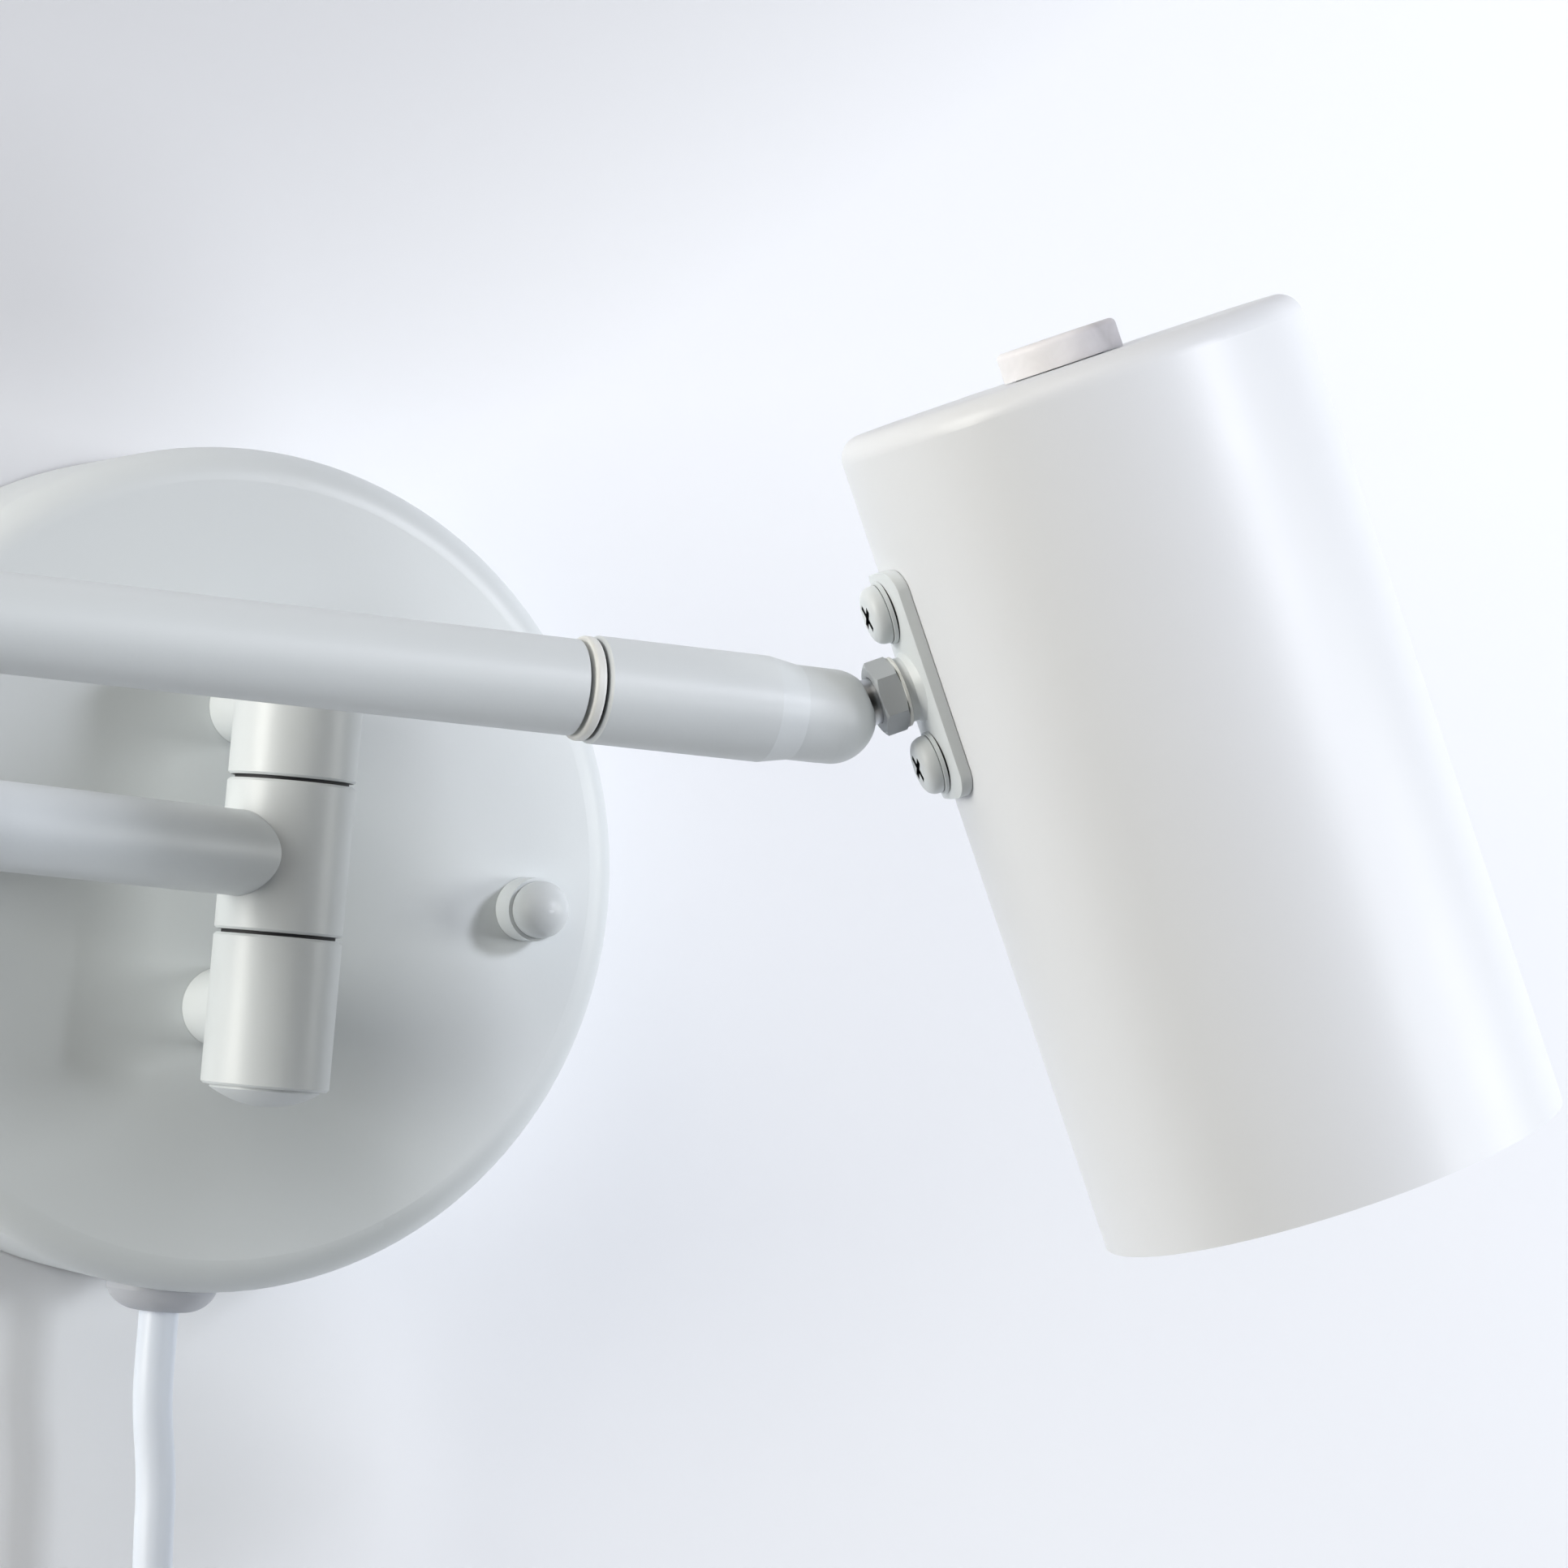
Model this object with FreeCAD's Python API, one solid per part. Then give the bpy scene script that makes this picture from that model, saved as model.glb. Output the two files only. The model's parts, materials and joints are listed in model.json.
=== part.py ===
import FreeCAD, Part
import math
import os

# Articulating wall lamp, millimetres.  Origin: centre of the mounting crossbar's back face, on the
# wall.  +X right along the wall, +Y into the wall, +Z up.  Everything stands out towards -Y.
V = FreeCAD.Vector
X, Y, Z = V(1, 0, 0), V(0, 1, 0), V(0, 0, 1)

# ---- rest pose, degrees ----
lower_arm_out = 24.4        # lower arm, out from the wall, pointing left
upper_arm_out = 1.2         # upper arm, out from the wall, pointing right
sleeve_roll = 27.1          # sleeve turned about the upper arm
stud_tilt = 27.7            # ball stud, away from the arm's axis
shade_spin = -28.2          # shade turned about the ball stud
stud_tilt_up = 32.0         # how far the stud tilts away from the socket's slot
stud_tilt_down = 90.0       # how far it folds down the slot

# ---- clearances ----
run_clear = 0.05            # radial, shaft in its bore
seat_clear = 0.05           # radial, pieces of one body that screw or press together
face_clear = 0.05           # between flat faces that slide on each other
cord_clear = 0.5            # tie and neighbouring turns of cord
stud_clear = 0.5            # radial, crossbar stud in the canopy's hole
strip_clear = 0.2           # backing strip, off the shade's inner face

# ---- wall canopy ----
canopy_r = 61.0
canopy_rise = 1.65          # its centre, above the crossbar's
canopy_depth = 34.5
canopy_sheet = 1.2
canopy_edge_r = 5.0

# ---- crossbar on the wall, with its two studs and cap nuts ----
crossbar_length = 106.0
crossbar_height = 20.0
crossbar_sheet = 2.0
crossbar_end_r = 3.0
cap_nut_spacing = 91.9
stud_r = 2.0
stud_nut_flats = 7.0
stud_nut_height = 3.2
cap_nut_collar_r = 4.7
cap_nut_collar_h = 5.0
cap_nut_ball_r = 4.2
cap_nut_ball_out = 5.7      # ball's centre, out from the canopy
wall_slot_spacing = 60.0
wall_slot_length = 12.0
wall_slot_width = 4.6
cable_hole_r = 5.25
ground_screw_x = 14.0
ground_head_r = 3.5
ground_head_h = 2.2
ground_shank_r = 2.0
ground_shank_l = 5.0
terminal_x = -15.0
terminal_width = 15.0
terminal_height = 17.0
terminal_depth = 12.0
terminal_ways = 2
terminal_screw_r = 2.0

# ---- knuckle columns ----
column_out = 55.4           # column's axis, out from the wall
column_rise = 1.9           # middle knuckle, above the canopy's centre
knuckle_r = 9.0
knuckle_height = 21.15
knuckle_gap = 0.5
knuckle_edge = 0.35
washer_r = 8.0
stem_r = 5.75
nipple_r = 5.0
nipple_bore_r = 3.6
nipple_in_stem = 8.0
nipple_in_canopy = 9.0
nipple_nut_flats = 14.0
nipple_nut_height = 3.0
pivot_r = 5.0
pivot_bore_r = 3.5
pivot_window_r = 2.6
end_cap_r = 7.7
end_cap_rise = 2.3
end_cap_rim = 0.4
end_cap_plug_l = 6.0

# ---- arms ----
lower_arm_length = 230.0    # column axis to elbow axis
upper_arm_length = 207.7    # elbow axis to the tube's free end
arm_tube_r = 6.0
arm_tube_wall = 1.0
arm_wire_r = 3.5

# ---- swivel sleeve and ball joint; distances along the upper arm ----
ring_gap = 0.4              # ring to sleeve
ring_gap_rear = 0.65        # arm tube to ring
ring_thick = 1.4
ring_r = 6.5
sleeve_r = 6.7
sleeve_length = 32.65       # sleeve's rear face to the ball's centre
sleeve_edge = 0.4
socket_r = 6.0              # turned-down end of the sleeve, around the ball
socket_length = 5.4
socket_taper = 4.0          # from the sleeve's round down to it
shaft_r = 4.6
plug_length = 15.0          # inside the arm tube
plug_wire_r = 2.2
bearing_length = 15.2
chamber_r = 5.3
clip_r = 5.1
clip_thick = 0.8
clip_gap = 0.2              # behind the bearing
clip_groove = 0.6           # depth of its groove
clip_opening = 3.6
clip_to_end = 1.4           # shaft left past the groove
ball_r = 4.5
cup_back = 9.0
cup_front_clear = 0.2       # ahead of the cup, to the folded stem
bush_gap = 0.1
stud_stem_r = 3.0
stud_bore_r = 1.6
slot_clear = 0.15
collar_back = 6.2           # lock collar's rear face, from the ball's centre
collar_thick = 3.13
collar_flats = 8.4
collar_edge = 0.3
collar_turn = 30.0          # degrees, a flat towards the room
disc_thick = 0.4
disc_r = 4.6

# ---- side plate on the shade ----
plate_boss_r = 4.2
plate_boss_h = 1.6
plate_thick = 1.5           # at its middle, over the shade's curve
plate_length = 30.5
plate_width = 9.0
plate_edge = 0.5
plate_screw_spacing = 20.0
screw_r = 2.0
screw_head_r = 3.8
screw_head_h = 2.1
screw_washer_r = 4.1
screw_washer_h = 0.5
strip_length = 29.0
strip_width = 11.0
strip_thick = 1.0
plate_nut_flats = 7.0
plate_nut_height = 3.0
end_nut_flats = 10.0
end_nut_height = 2.6
screw_past_nut = 0.5

# ---- shade ----
shade_r = 30.7
shade_length = 109.0
shade_sheet = 1.2
shade_edge_r = 3.0
shade_above_stud = 32.15

# ---- lamp holder and switch knob ----
neck_r = 5.0
neck_above = 2.4            # above the shade's top face
holder_cap_r = 10.0
holder_cap_l = 8.0
holder_r = 18.0
holder_length = 47.0
holder_shoulder = 8.0
holder_edge = 1.5
holder_bore_r = 13.6
holder_bore_l = 26.0
shell_r = 13.45
shell_wall = 0.35
shell_length = 22.0
shell_inset = 2.0
contact_r = 4.0
contact_h = 1.6
neck_nut_flats = 12.0
neck_nut_height = 1.8
knob_r = 7.9
knob_height = 3.8
knob_edge = 0.8
knob_gap = 0.15
knob_recess_clear = 0.17    # around the neck nut's corners
knob_recess_h = 2.6
knob_shaft_r = 2.5
knob_shaft_l = 10.0

# ---- cord, bushing, coil and plug ----
bushing_out = 20.3          # bushing's axis, out from the wall
bushing_flange_r = 8.0
bushing_foot_r = 3.7
bushing_height = 3.4
bushing_barrel_r = 5.0
bushing_barrel_l = 9.0
bushing_nut_flats = 14.0
bushing_nut_height = 3.5
cord_r = 2.9
coil_outer = 45.0
coil_turns = 8.0
coil_layer_turns = 4.25
coil_drop = 268.0           # coil's centre, below the origin
coil_tail = 40.0
tie_width = 12.0
tie_thick = 1.2
plug_body_l = 34.0
plug_body_w = 25.0
plug_body_t = 17.0
plug_neck_r = 5.0
plug_neck_l = 12.0
blade_width = 6.3
blade_thick = 1.5
blade_length = 17.0
blade_spacing = 12.7


# ---------------------------------------------------------------- shapes
def rod(r, a, b):
    """Round bar along X from a to b."""
    return Part.makeCylinder(r, b - a, V(a, 0, 0), X)


def pipe(r_out, r_in, a, b):
    return rod(r_out, a, b).cut(rod(r_in, a - 1, b + 1))


def upright(r, a, b):
    """Round bar along Z from a to b."""
    return Part.makeCylinder(r, b - a, V(0, 0, a), Z)


def revolved(rows):
    """Solid of revolution about Z; each row is (radius, height), or (radius, height, through) where
    through is a point of the arc that leads to this row."""
    edges = []
    for k, row in enumerate(rows):
        a, b = rows[k - 1], row
        pa, pb = V(a[0], 0, a[1]), V(b[0], 0, b[1])
        if (pa - pb).Length < 1e-6:
            continue
        if len(row) == 3:
            edges.append(Part.Arc(pa, V(row[2][0], 0, row[2][1]), pb).toShape())
        else:
            edges.append(Part.LineSegment(pa, pb).toShape())
    return Part.Face(Part.Wire(edges)).revolve(V(0, 0, 0), Z, 360)


def bulge(r, z, height):
    """Point half way along a low dome that starts at radius r and height z and ends on the axis."""
    radius = (r * r + height * height) / (2 * abs(height))
    up = 1 if height > 0 else -1
    half = math.asin(r / radius) / 2
    return (radius * math.sin(half), z + height - up * radius * (1 - math.cos(half)))


def corner(r, z, cx, cz):
    """Middle of a quarter-round corner whose centre is (cx, cz), on the side of (r, z)."""
    reach = math.hypot(r - cx, z - cz)
    arc_r = max(abs(r - cx), abs(z - cz))
    return (cx + (r - cx) * arc_r / reach, cz + (z - cz) * arc_r / reach)


def hexagon(flats, a, b, bore):
    """Hexagonal nut along Z from a to b, its corners chamfered, with a plain hole."""
    r = flats / math.sqrt(3)
    pts = [V(r * math.cos(math.radians(60 * k)), r * math.sin(math.radians(60 * k)), a) for k in range(7)]
    body = Part.Face(Part.makePolygon(pts)).extrude(V(0, 0, b - a))
    lead = (r - flats / 2) * 0.6
    cone = revolved([(0, a), (r - lead, a), (r, a + lead), (r, b - lead), (r - lead, b), (0, b)])
    return body.common(cone).cut(upright(bore, a - 1, b + 1))


def stadium(length, width, depth):
    """Flat bar with round ends: long way Z, wide way Y, thick from x = 0 to depth."""
    half, r = (length - width) / 2, width / 2
    edges = [Part.LineSegment(V(0, -r, -half), V(0, -r, half)).toShape(),
             Part.Arc(V(0, -r, half), V(0, 0, half + r), V(0, r, half)).toShape(),
             Part.LineSegment(V(0, r, half), V(0, r, -half)).toShape(),
             Part.Arc(V(0, r, -half), V(0, 0, -half - r), V(0, -r, -half)).toShape()]
    return Part.Face(Part.Wire(edges)).extrude(V(depth, 0, 0))


def turned(shape, rotation):
    out = shape.copy()
    out.transformShape(rotation.toMatrix(), True)
    return out


def place(shape, frame):
    out = shape.copy()
    out.Placement = frame.multiply(shape.Placement)
    return out


UP_TO_X = FreeCAD.Placement(V(0, 0, 0), FreeCAD.Rotation(Y, 90))     # Z becomes X
UP_TO_OUT = FreeCAD.Placement(V(0, 0, 0), FreeCAD.Rotation(X, 90))   # Z becomes -Y


def along_x(shape):
    return place(shape, UP_TO_X)


def outward(shape, x=0.0, z=0.0):
    """A piece modelled along Z, turned to stand out from the wall at (x, z)."""
    return place(place(shape, UP_TO_OUT), FreeCAD.Placement(V(x, 0, z), FreeCAD.Rotation()))


def cylinder_out(r, a, b, x=0.0, z=0.0):
    """Round bar along -Y, from a to b out from the wall."""
    return Part.makeCylinder(r, b - a, V(x, -a, z), V(0, -1, 0))


# ---------------------------------------------------------------- frames
knuckle_pitch = knuckle_height + knuckle_gap
turn = FreeCAD.Rotation
column_z = canopy_rise + column_rise
at_column = FreeCAD.Placement(V(0, -column_out, column_z), turn())
at_lower = at_column.multiply(FreeCAD.Placement(V(0, 0, 0), turn(Z, 180 + lower_arm_out)))
at_elbow = at_lower.multiply(FreeCAD.Placement(V(lower_arm_length, 0, 0), turn()))
elbow = at_elbow.multVec(V(0, 0, 0))
at_upper = FreeCAD.Placement(elbow + V(0, 0, knuckle_pitch), turn(Z, -upper_arm_out))
ring_start = upper_arm_length + ring_gap_rear
sleeve_start = ring_start + ring_thick + ring_gap
ball_at = sleeve_start + sleeve_length
clip_start = sleeve_start + bearing_length + clip_gap
shaft_end = clip_start + clip_thick + clip_to_end
at_sleeve = at_upper.multiply(FreeCAD.Placement(V(ball_at, 0, 0), turn(X, sleeve_roll)))
at_stud = at_sleeve.multiply(FreeCAD.Placement(V(0, 0, 0), turn(Y, -stud_tilt)))
at_head = at_stud.multiply(FreeCAD.Placement(V(0, 0, 0), turn(X, shade_spin)))

boss_back = collar_back + collar_thick + disc_thick
plate_face = boss_back + plate_boss_h
shade_face = plate_face + plate_thick
shade_axis = shade_face + shade_r
strip_back = shade_face + shade_sheet
strip_front = strip_back + strip_thick
at_shade = at_head.multiply(FreeCAD.Placement(V(shade_axis, 0, shade_above_stud), turn()))


# ---------------------------------------------------------------- wall canopy and crossbar
def wall_canopy():
    """Deep-drawn round cover with a rounded front edge, open at the wall."""
    r, d, s, e = canopy_r, canopy_depth, canopy_sheet, canopy_edge_r
    ri, di, ei = r - s, d - s, e - s
    body = revolved([(r, 0), (r, d - e), (r - e, d, corner(r, d, r - e, d - e)), (0, d), (0, di),
                     (ri - ei, di), (ri, di - ei, corner(ri, di, ri - ei, di - ei)), (ri, 0)])
    body = outward(body, 0, canopy_rise)
    for side in (-1, 1):
        body = body.cut(cylinder_out(stud_r + stud_clear, di - 1, d + 1, side * cap_nut_spacing / 2))
        body = body.cut(cylinder_out(nipple_r + seat_clear, di - 1, d + 1, 0,
                                     column_z + side * knuckle_pitch))
    hole = Part.makeCylinder(bushing_barrel_r + seat_clear, 3 * s, V(0, -bushing_out, canopy_rise - r - s), Z)
    return body.cut(hole)


def mounting_crossbar():
    """Steel strap: two wall slots, a cable hole, tapped holes for the studs and the ground screw."""
    half_l, half_h, s = crossbar_length / 2, crossbar_height / 2, crossbar_sheet
    bar = Part.makeBox(crossbar_length, s, crossbar_height, V(-half_l, -s, -half_h))
    ends = [e for e in bar.Edges if abs(e.tangentAt(e.FirstParameter).y) > 0.9]
    bar = bar.makeFillet(crossbar_end_r, ends)
    reach = (wall_slot_length - wall_slot_width) / 2
    for side in (-1, 1):
        mid = side * wall_slot_spacing / 2
        bar = bar.cut(Part.makeBox(2 * reach, 3 * s, wall_slot_width,
                                   V(mid - reach, -2 * s, -wall_slot_width / 2)))
        for end in (-1, 1):
            bar = bar.cut(cylinder_out(wall_slot_width / 2, -s, 2 * s, mid + end * reach))
        bar = bar.cut(cylinder_out(stud_r + seat_clear, -s, 2 * s, side * cap_nut_spacing / 2))
    bar = bar.cut(cylinder_out(cable_hole_r, -s, 2 * s))
    return bar.cut(cylinder_out(ground_shank_r + seat_clear, -s, 2 * s, ground_screw_x))


def crossbar_studs():
    tip = canopy_depth + cap_nut_collar_h - face_clear
    return [cylinder_out(stud_r, 0, tip, side * cap_nut_spacing / 2) for side in (-1, 1)]


def stud_lock_nuts():
    nut = hexagon(stud_nut_flats, crossbar_sheet, crossbar_sheet + stud_nut_height, stud_r + seat_clear)
    return [outward(nut, side * cap_nut_spacing / 2) for side in (-1, 1)]


def cap_nuts():
    """Round collar and dome, blind-bored on the stud."""
    d, r = canopy_depth, cap_nut_ball_r
    mid, step = d + cap_nut_ball_out, d + cap_nut_collar_h
    join = math.asin((step - mid) / r)
    half = (join + math.pi / 2) / 2
    nut = revolved([(0, d), (cap_nut_collar_r, d), (cap_nut_collar_r, step), (r * math.cos(join), step),
                    (0, mid + r, (r * math.cos(half), mid + r * math.sin(half)))])
    nut = nut.cut(upright(stud_r + seat_clear, d - 1, step))
    return [outward(nut, side * cap_nut_spacing / 2) for side in (-1, 1)]


def ground_screw():
    s = crossbar_sheet
    top = s + ground_head_h
    screw = revolved([(0, s - ground_shank_l / 2), (ground_shank_r, s - ground_shank_l / 2),
                      (ground_shank_r, s), (ground_head_r, s), (ground_head_r, s + ground_head_h / 2),
                      (0, top, bulge(ground_head_r, s + ground_head_h / 2, ground_head_h / 2))])
    return [outward(screw.cut(upright(ground_head_r, -ground_shank_l, 0)), ground_screw_x)]


def terminal_block():
    """Two-way screw terminal on the crossbar."""
    w, h, dep, s = terminal_width, terminal_height, terminal_depth, crossbar_sheet
    block = Part.makeBox(w, dep, h, V(terminal_x - w / 2, -s - dep, -h / 2))
    block = block.makeFillet(1.2, [e for e in block.Edges if abs(e.tangentAt(e.FirstParameter).y) > 0.9])
    pitch = h / terminal_ways
    for k in range(terminal_ways):
        z = (k - (terminal_ways - 1) / 2) * pitch
        well = cylinder_out(terminal_screw_r, s + dep / 2, s + dep + 1, terminal_x, z)
        block = block.cut(well)
        block = block.cut(Part.makeCylinder(terminal_screw_r * 0.8, w + 2,
                                            V(terminal_x - w / 2 - 1, -s - dep / 3, z), X))
    return [block]


# ---------------------------------------------------------------- knuckle columns
def knuckle(bore):
    """Short turned cylinder about Z, centred, edges eased."""
    h, r, e = knuckle_height / 2, knuckle_r, knuckle_edge
    return revolved([(bore, -h), (r - e, -h), (r, -h + e), (r, h - e), (r - e, h), (bore, h)])


def wall_knuckle(side):
    """Fixed knuckle, above (+1) or below (-1) the arm's, brazed to its stem towards the wall."""
    z = side * knuckle_pitch
    body = place(knuckle(pivot_r + seat_clear), FreeCAD.Placement(V(0, 0, z), turn()))
    length = column_out - canopy_depth
    stem = Part.makeCylinder(stem_r, length, V(0, 0, z), Y).cut(
        upright(knuckle_r - knuckle_edge, z - knuckle_height, z + knuckle_height))
    body = body.fuse(stem)
    body = body.cut(Part.makeCylinder(nipple_bore_r, length + 1, V(0, 0, z), Y))
    socket = Part.makeCylinder(nipple_r + seat_clear, nipple_in_stem + 1, V(0, length - nipple_in_stem, z), Y)
    return [place(body.cut(socket).removeSplitter(), at_column)]


def stem_nipples():
    """Hollow threaded tubes from the stems into the canopy."""
    a = canopy_depth - canopy_sheet - nipple_in_canopy
    b = canopy_depth + nipple_in_stem
    out = []
    for side in (-1, 1):
        z = column_z + side * knuckle_pitch
        out.append(cylinder_out(nipple_r, a, b, 0, z).cut(cylinder_out(nipple_bore_r, a - 1, b + 1, 0, z)))
    return out


def stem_lock_nuts():
    top = canopy_depth - canopy_sheet
    nut = hexagon(nipple_nut_flats, top - nipple_nut_height, top, nipple_r + seat_clear)
    return [outward(nut, 0, column_z + side * knuckle_pitch) for side in (-1, 1)]


def pivot_tube(low, high, windows):
    """Hollow pin about Z with side windows for the flex."""
    body = upright(pivot_r, low, high).cut(upright(pivot_bore_r, low - 1, high + 1))
    for z, direction in windows:
        body = body.cut(Part.makeCylinder(pivot_window_r, 2 * pivot_r, V(0, 0, z), direction))
    return body


def end_cap(z, up):
    """Low domed cap with a plug that fills the pivot tube's end; up is +1 or -1."""
    plug = pivot_bore_r - seat_clear
    rim = z + up * end_cap_rim
    rows = [(0, z - up * end_cap_plug_l), (plug, z - up * end_cap_plug_l), (plug, z), (end_cap_r, z),
            (end_cap_r, rim), (0, rim + up * end_cap_rise, bulge(end_cap_r, rim, up * end_cap_rise))]
    return revolved(rows)


def knuckle_washer(z):
    """Thin washer in the gap above height z."""
    low, high = z + face_clear, z + knuckle_gap - face_clear
    return upright(washer_r, low, high).cut(upright(pivot_r + run_clear, low - 1, high + 1))


column_half = 1.5 * knuckle_height + knuckle_gap


def wall_pivot_tube():
    back = [(knuckle_pitch, Y), (0, V(-1, 0, 0)), (0, V(0, -1, 0)), (0, X), (-knuckle_pitch, Y)]
    return [place(pivot_tube(-column_half, column_half, back), at_column)]


def wall_pivot_caps():
    return [place(end_cap(side * column_half, side), at_column) for side in (-1, 1)]


def wall_knuckle_washers():
    low = knuckle_height / 2
    return [place(knuckle_washer(z), at_column) for z in (low, -low - knuckle_gap)]


# ---------------------------------------------------------------- lower arm
def arm_knuckle(bore, towards):
    """Moving knuckle about Z with a wire hole on the arm's side."""
    body = knuckle(bore)
    return body.cut(Part.makeCylinder(arm_wire_r, knuckle_r + 1, V(0, 0, 0), towards))


def arm_tube(start_knuckle, length, end_knuckle):
    """Tube along X, its ends coped to the round of the knuckles that carry it."""
    body = pipe(arm_tube_r, arm_tube_r - arm_tube_wall, 0, length)
    if start_knuckle:
        body = body.cut(upright(knuckle_r, -knuckle_height, knuckle_height))
    if end_knuckle:
        body = body.cut(Part.makeCylinder(knuckle_r, 2 * knuckle_height, V(length, 0, -knuckle_height), Z))
    return body


elbow_low = -knuckle_height / 2
elbow_high = knuckle_height * 1.5 + knuckle_gap


def lower_arm_wall_knuckle():
    return [place(arm_knuckle(pivot_r + run_clear, X), at_lower)]


def lower_arm_tube():
    return [place(arm_tube(True, lower_arm_length, True), at_lower)]


def lower_arm_elbow_knuckle():
    return [place(arm_knuckle(pivot_r + seat_clear, V(-1, 0, 0)), at_elbow)]


def elbow_pivot_tube():
    windows = [(0, V(-1, 0, 0)), (knuckle_pitch, X), (knuckle_pitch, Y), (knuckle_pitch, V(0, -1, 0))]
    return [place(pivot_tube(elbow_low, elbow_high + face_clear, windows), at_elbow)]


def elbow_pivot_caps():
    return [place(end_cap(elbow_low, -1), at_elbow), place(end_cap(elbow_high + face_clear, 1), at_elbow)]


def elbow_washer():
    return [place(knuckle_washer(knuckle_height / 2), at_elbow)]


# ---------------------------------------------------------------- upper arm
def upper_arm_elbow_knuckle():
    return [place(arm_knuckle(pivot_r + run_clear, X), at_upper)]


def upper_arm_tube():
    return [place(arm_tube(True, upper_arm_length, False), at_upper)]


def arm_end_spigot():
    """Plug in the tube's end with the shaft that the sleeve turns on, grooved for its clip."""
    body = rod(arm_tube_r - arm_tube_wall - seat_clear, upper_arm_length - plug_length, upper_arm_length)
    body = body.fuse(rod(shaft_r, upper_arm_length, shaft_end))
    body = body.cut(pipe(2 * shaft_r, shaft_r - clip_groove, clip_start, clip_start + clip_thick))
    return [place(body.cut(rod(plug_wire_r, 0, 2 * shaft_end)).removeSplitter(), at_upper)]


def sleeve_spacer_ring():
    body = pipe(ring_r, shaft_r + run_clear, ring_start, ring_start + ring_thick)
    rims = [e for e in body.Edges if e.isClosed() and abs(e.Curve.Radius - ring_r) < 1e-6]
    return [place(body.makeFillet(ring_thick * 0.3, rims), at_upper)]


def sleeve_clip():
    """Open retaining ring in the shaft's groove."""
    low, high = clip_start + seat_clear, clip_start + clip_thick - seat_clear
    body = pipe(clip_r, shaft_r - clip_groove + seat_clear, low, high)
    opening = Part.makeBox(clip_thick, clip_opening, clip_r, V(clip_start, -clip_opening / 2, 0))
    return [place(body.cut(opening), at_upper)]


# ---------------------------------------------------------------- swivel sleeve, from the ball's centre
def stem_sweep(reach):
    """Room that the ball stud's stem sweeps as it tilts: a slab with round ends."""
    r = stud_stem_r + slot_clear
    high, low = math.radians(stud_tilt_up), math.radians(-stud_tilt_down)
    far = reach * 2
    span = [high + (low - high) * k / 3 for k in range(4)]
    pts = [V(0, -r, 0)] + [V(far * math.cos(a), -r, far * math.sin(a)) for a in span] + [V(0, -r, 0)]
    body = Part.Face(Part.makePolygon(pts)).extrude(V(0, 2 * r, 0))
    for a in (high, low):
        body = body.fuse(Part.makeCylinder(r, reach * 2, V(0, 0, 0), V(math.cos(a), 0, math.sin(a))))
    return body


def swivel_sleeve():
    """Turned sleeve: bearing bore, clip chamber, ball seat, and a slot down one side of the socket."""
    a, e = -sleeve_length, sleeve_edge
    step = -socket_length
    rows = [(0, a), (sleeve_r - e, a), (sleeve_r, a + e), (sleeve_r, step - socket_taper), (socket_r, step),
            (socket_r, 0),
            (0, socket_r, (socket_r * math.sqrt(0.5), socket_r * math.sqrt(0.5)))]
    body = along_x(revolved(rows))
    body = body.cut(rod(shaft_r + run_clear, a - 1, 0))
    body = body.cut(rod(chamber_r, a + bearing_length, -cup_back + 0.5))
    body = body.cut(Part.makeSphere(ball_r + run_clear))
    return [place(body.cut(stem_sweep(socket_r)), at_sleeve)]


def ball_friction_cup():
    """Brass cup that presses on the back of the ball."""
    front = -stud_stem_r - cup_front_clear
    body = rod(shaft_r, -cup_back, front).cut(Part.makeSphere(ball_r + run_clear))
    return [place(body.cut(rod(plug_wire_r, -cup_back - 1, 0)), at_sleeve)]


def friction_bush():
    """Rubber bush between the shaft's end and the cup."""
    body = pipe(shaft_r - bush_gap, plug_wire_r, shaft_end - ball_at + bush_gap, -cup_back - face_clear)
    return [place(body, at_sleeve)]


# ---------------------------------------------------------------- ball stud
def ball_stud():
    """Ball, stem and threaded end in one turned piece, bored for the flex."""
    tip = strip_front + face_clear + end_nut_height + screw_past_nut
    body = Part.makeSphere(ball_r).fuse(rod(stud_stem_r, 0, tip))
    return [place(body.cut(rod(stud_bore_r, -ball_r - 1, tip + 1)).removeSplitter(), at_stud)]


def stud_collar():
    """Hexagonal lock collar on the stud, its corners turned away."""
    a, b = collar_back, collar_back + collar_thick
    r = collar_flats / math.sqrt(3)
    e = collar_edge
    corners = [math.radians(60 * k + collar_turn) for k in range(7)]
    pts = [V(r * math.cos(c), r * math.sin(c), a) for c in corners]
    body = Part.Face(Part.makePolygon(pts)).extrude(V(0, 0, b - a))
    body = body.common(revolved([(0, a), (r - 2 * e, a), (r, a + e), (r, b - e), (r - 2 * e, b), (0, b)]))
    body = along_x(body).cut(rod(stud_stem_r + seat_clear, a - 1, b + 1))
    return [place(body, at_stud)]


def stud_slip_washer():
    a = collar_back + collar_thick
    body = pipe(disc_r, stud_stem_r + seat_clear, a, a + disc_thick - face_clear)
    return [place(body, at_stud)]


def stud_end_nut():
    a = strip_front + face_clear
    body = along_x(hexagon(end_nut_flats, a, a + end_nut_height, stud_stem_r + seat_clear))
    return [place(body, at_stud)]


# ---------------------------------------------------------------- side plate; X along the stud
def shade_round(r):
    """Solid cylinder of the shade's axis, long enough to cut the pieces that seat on it."""
    return Part.makeCylinder(r, 2 * plate_length, V(shade_axis, 0, -plate_length), Z)


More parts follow.
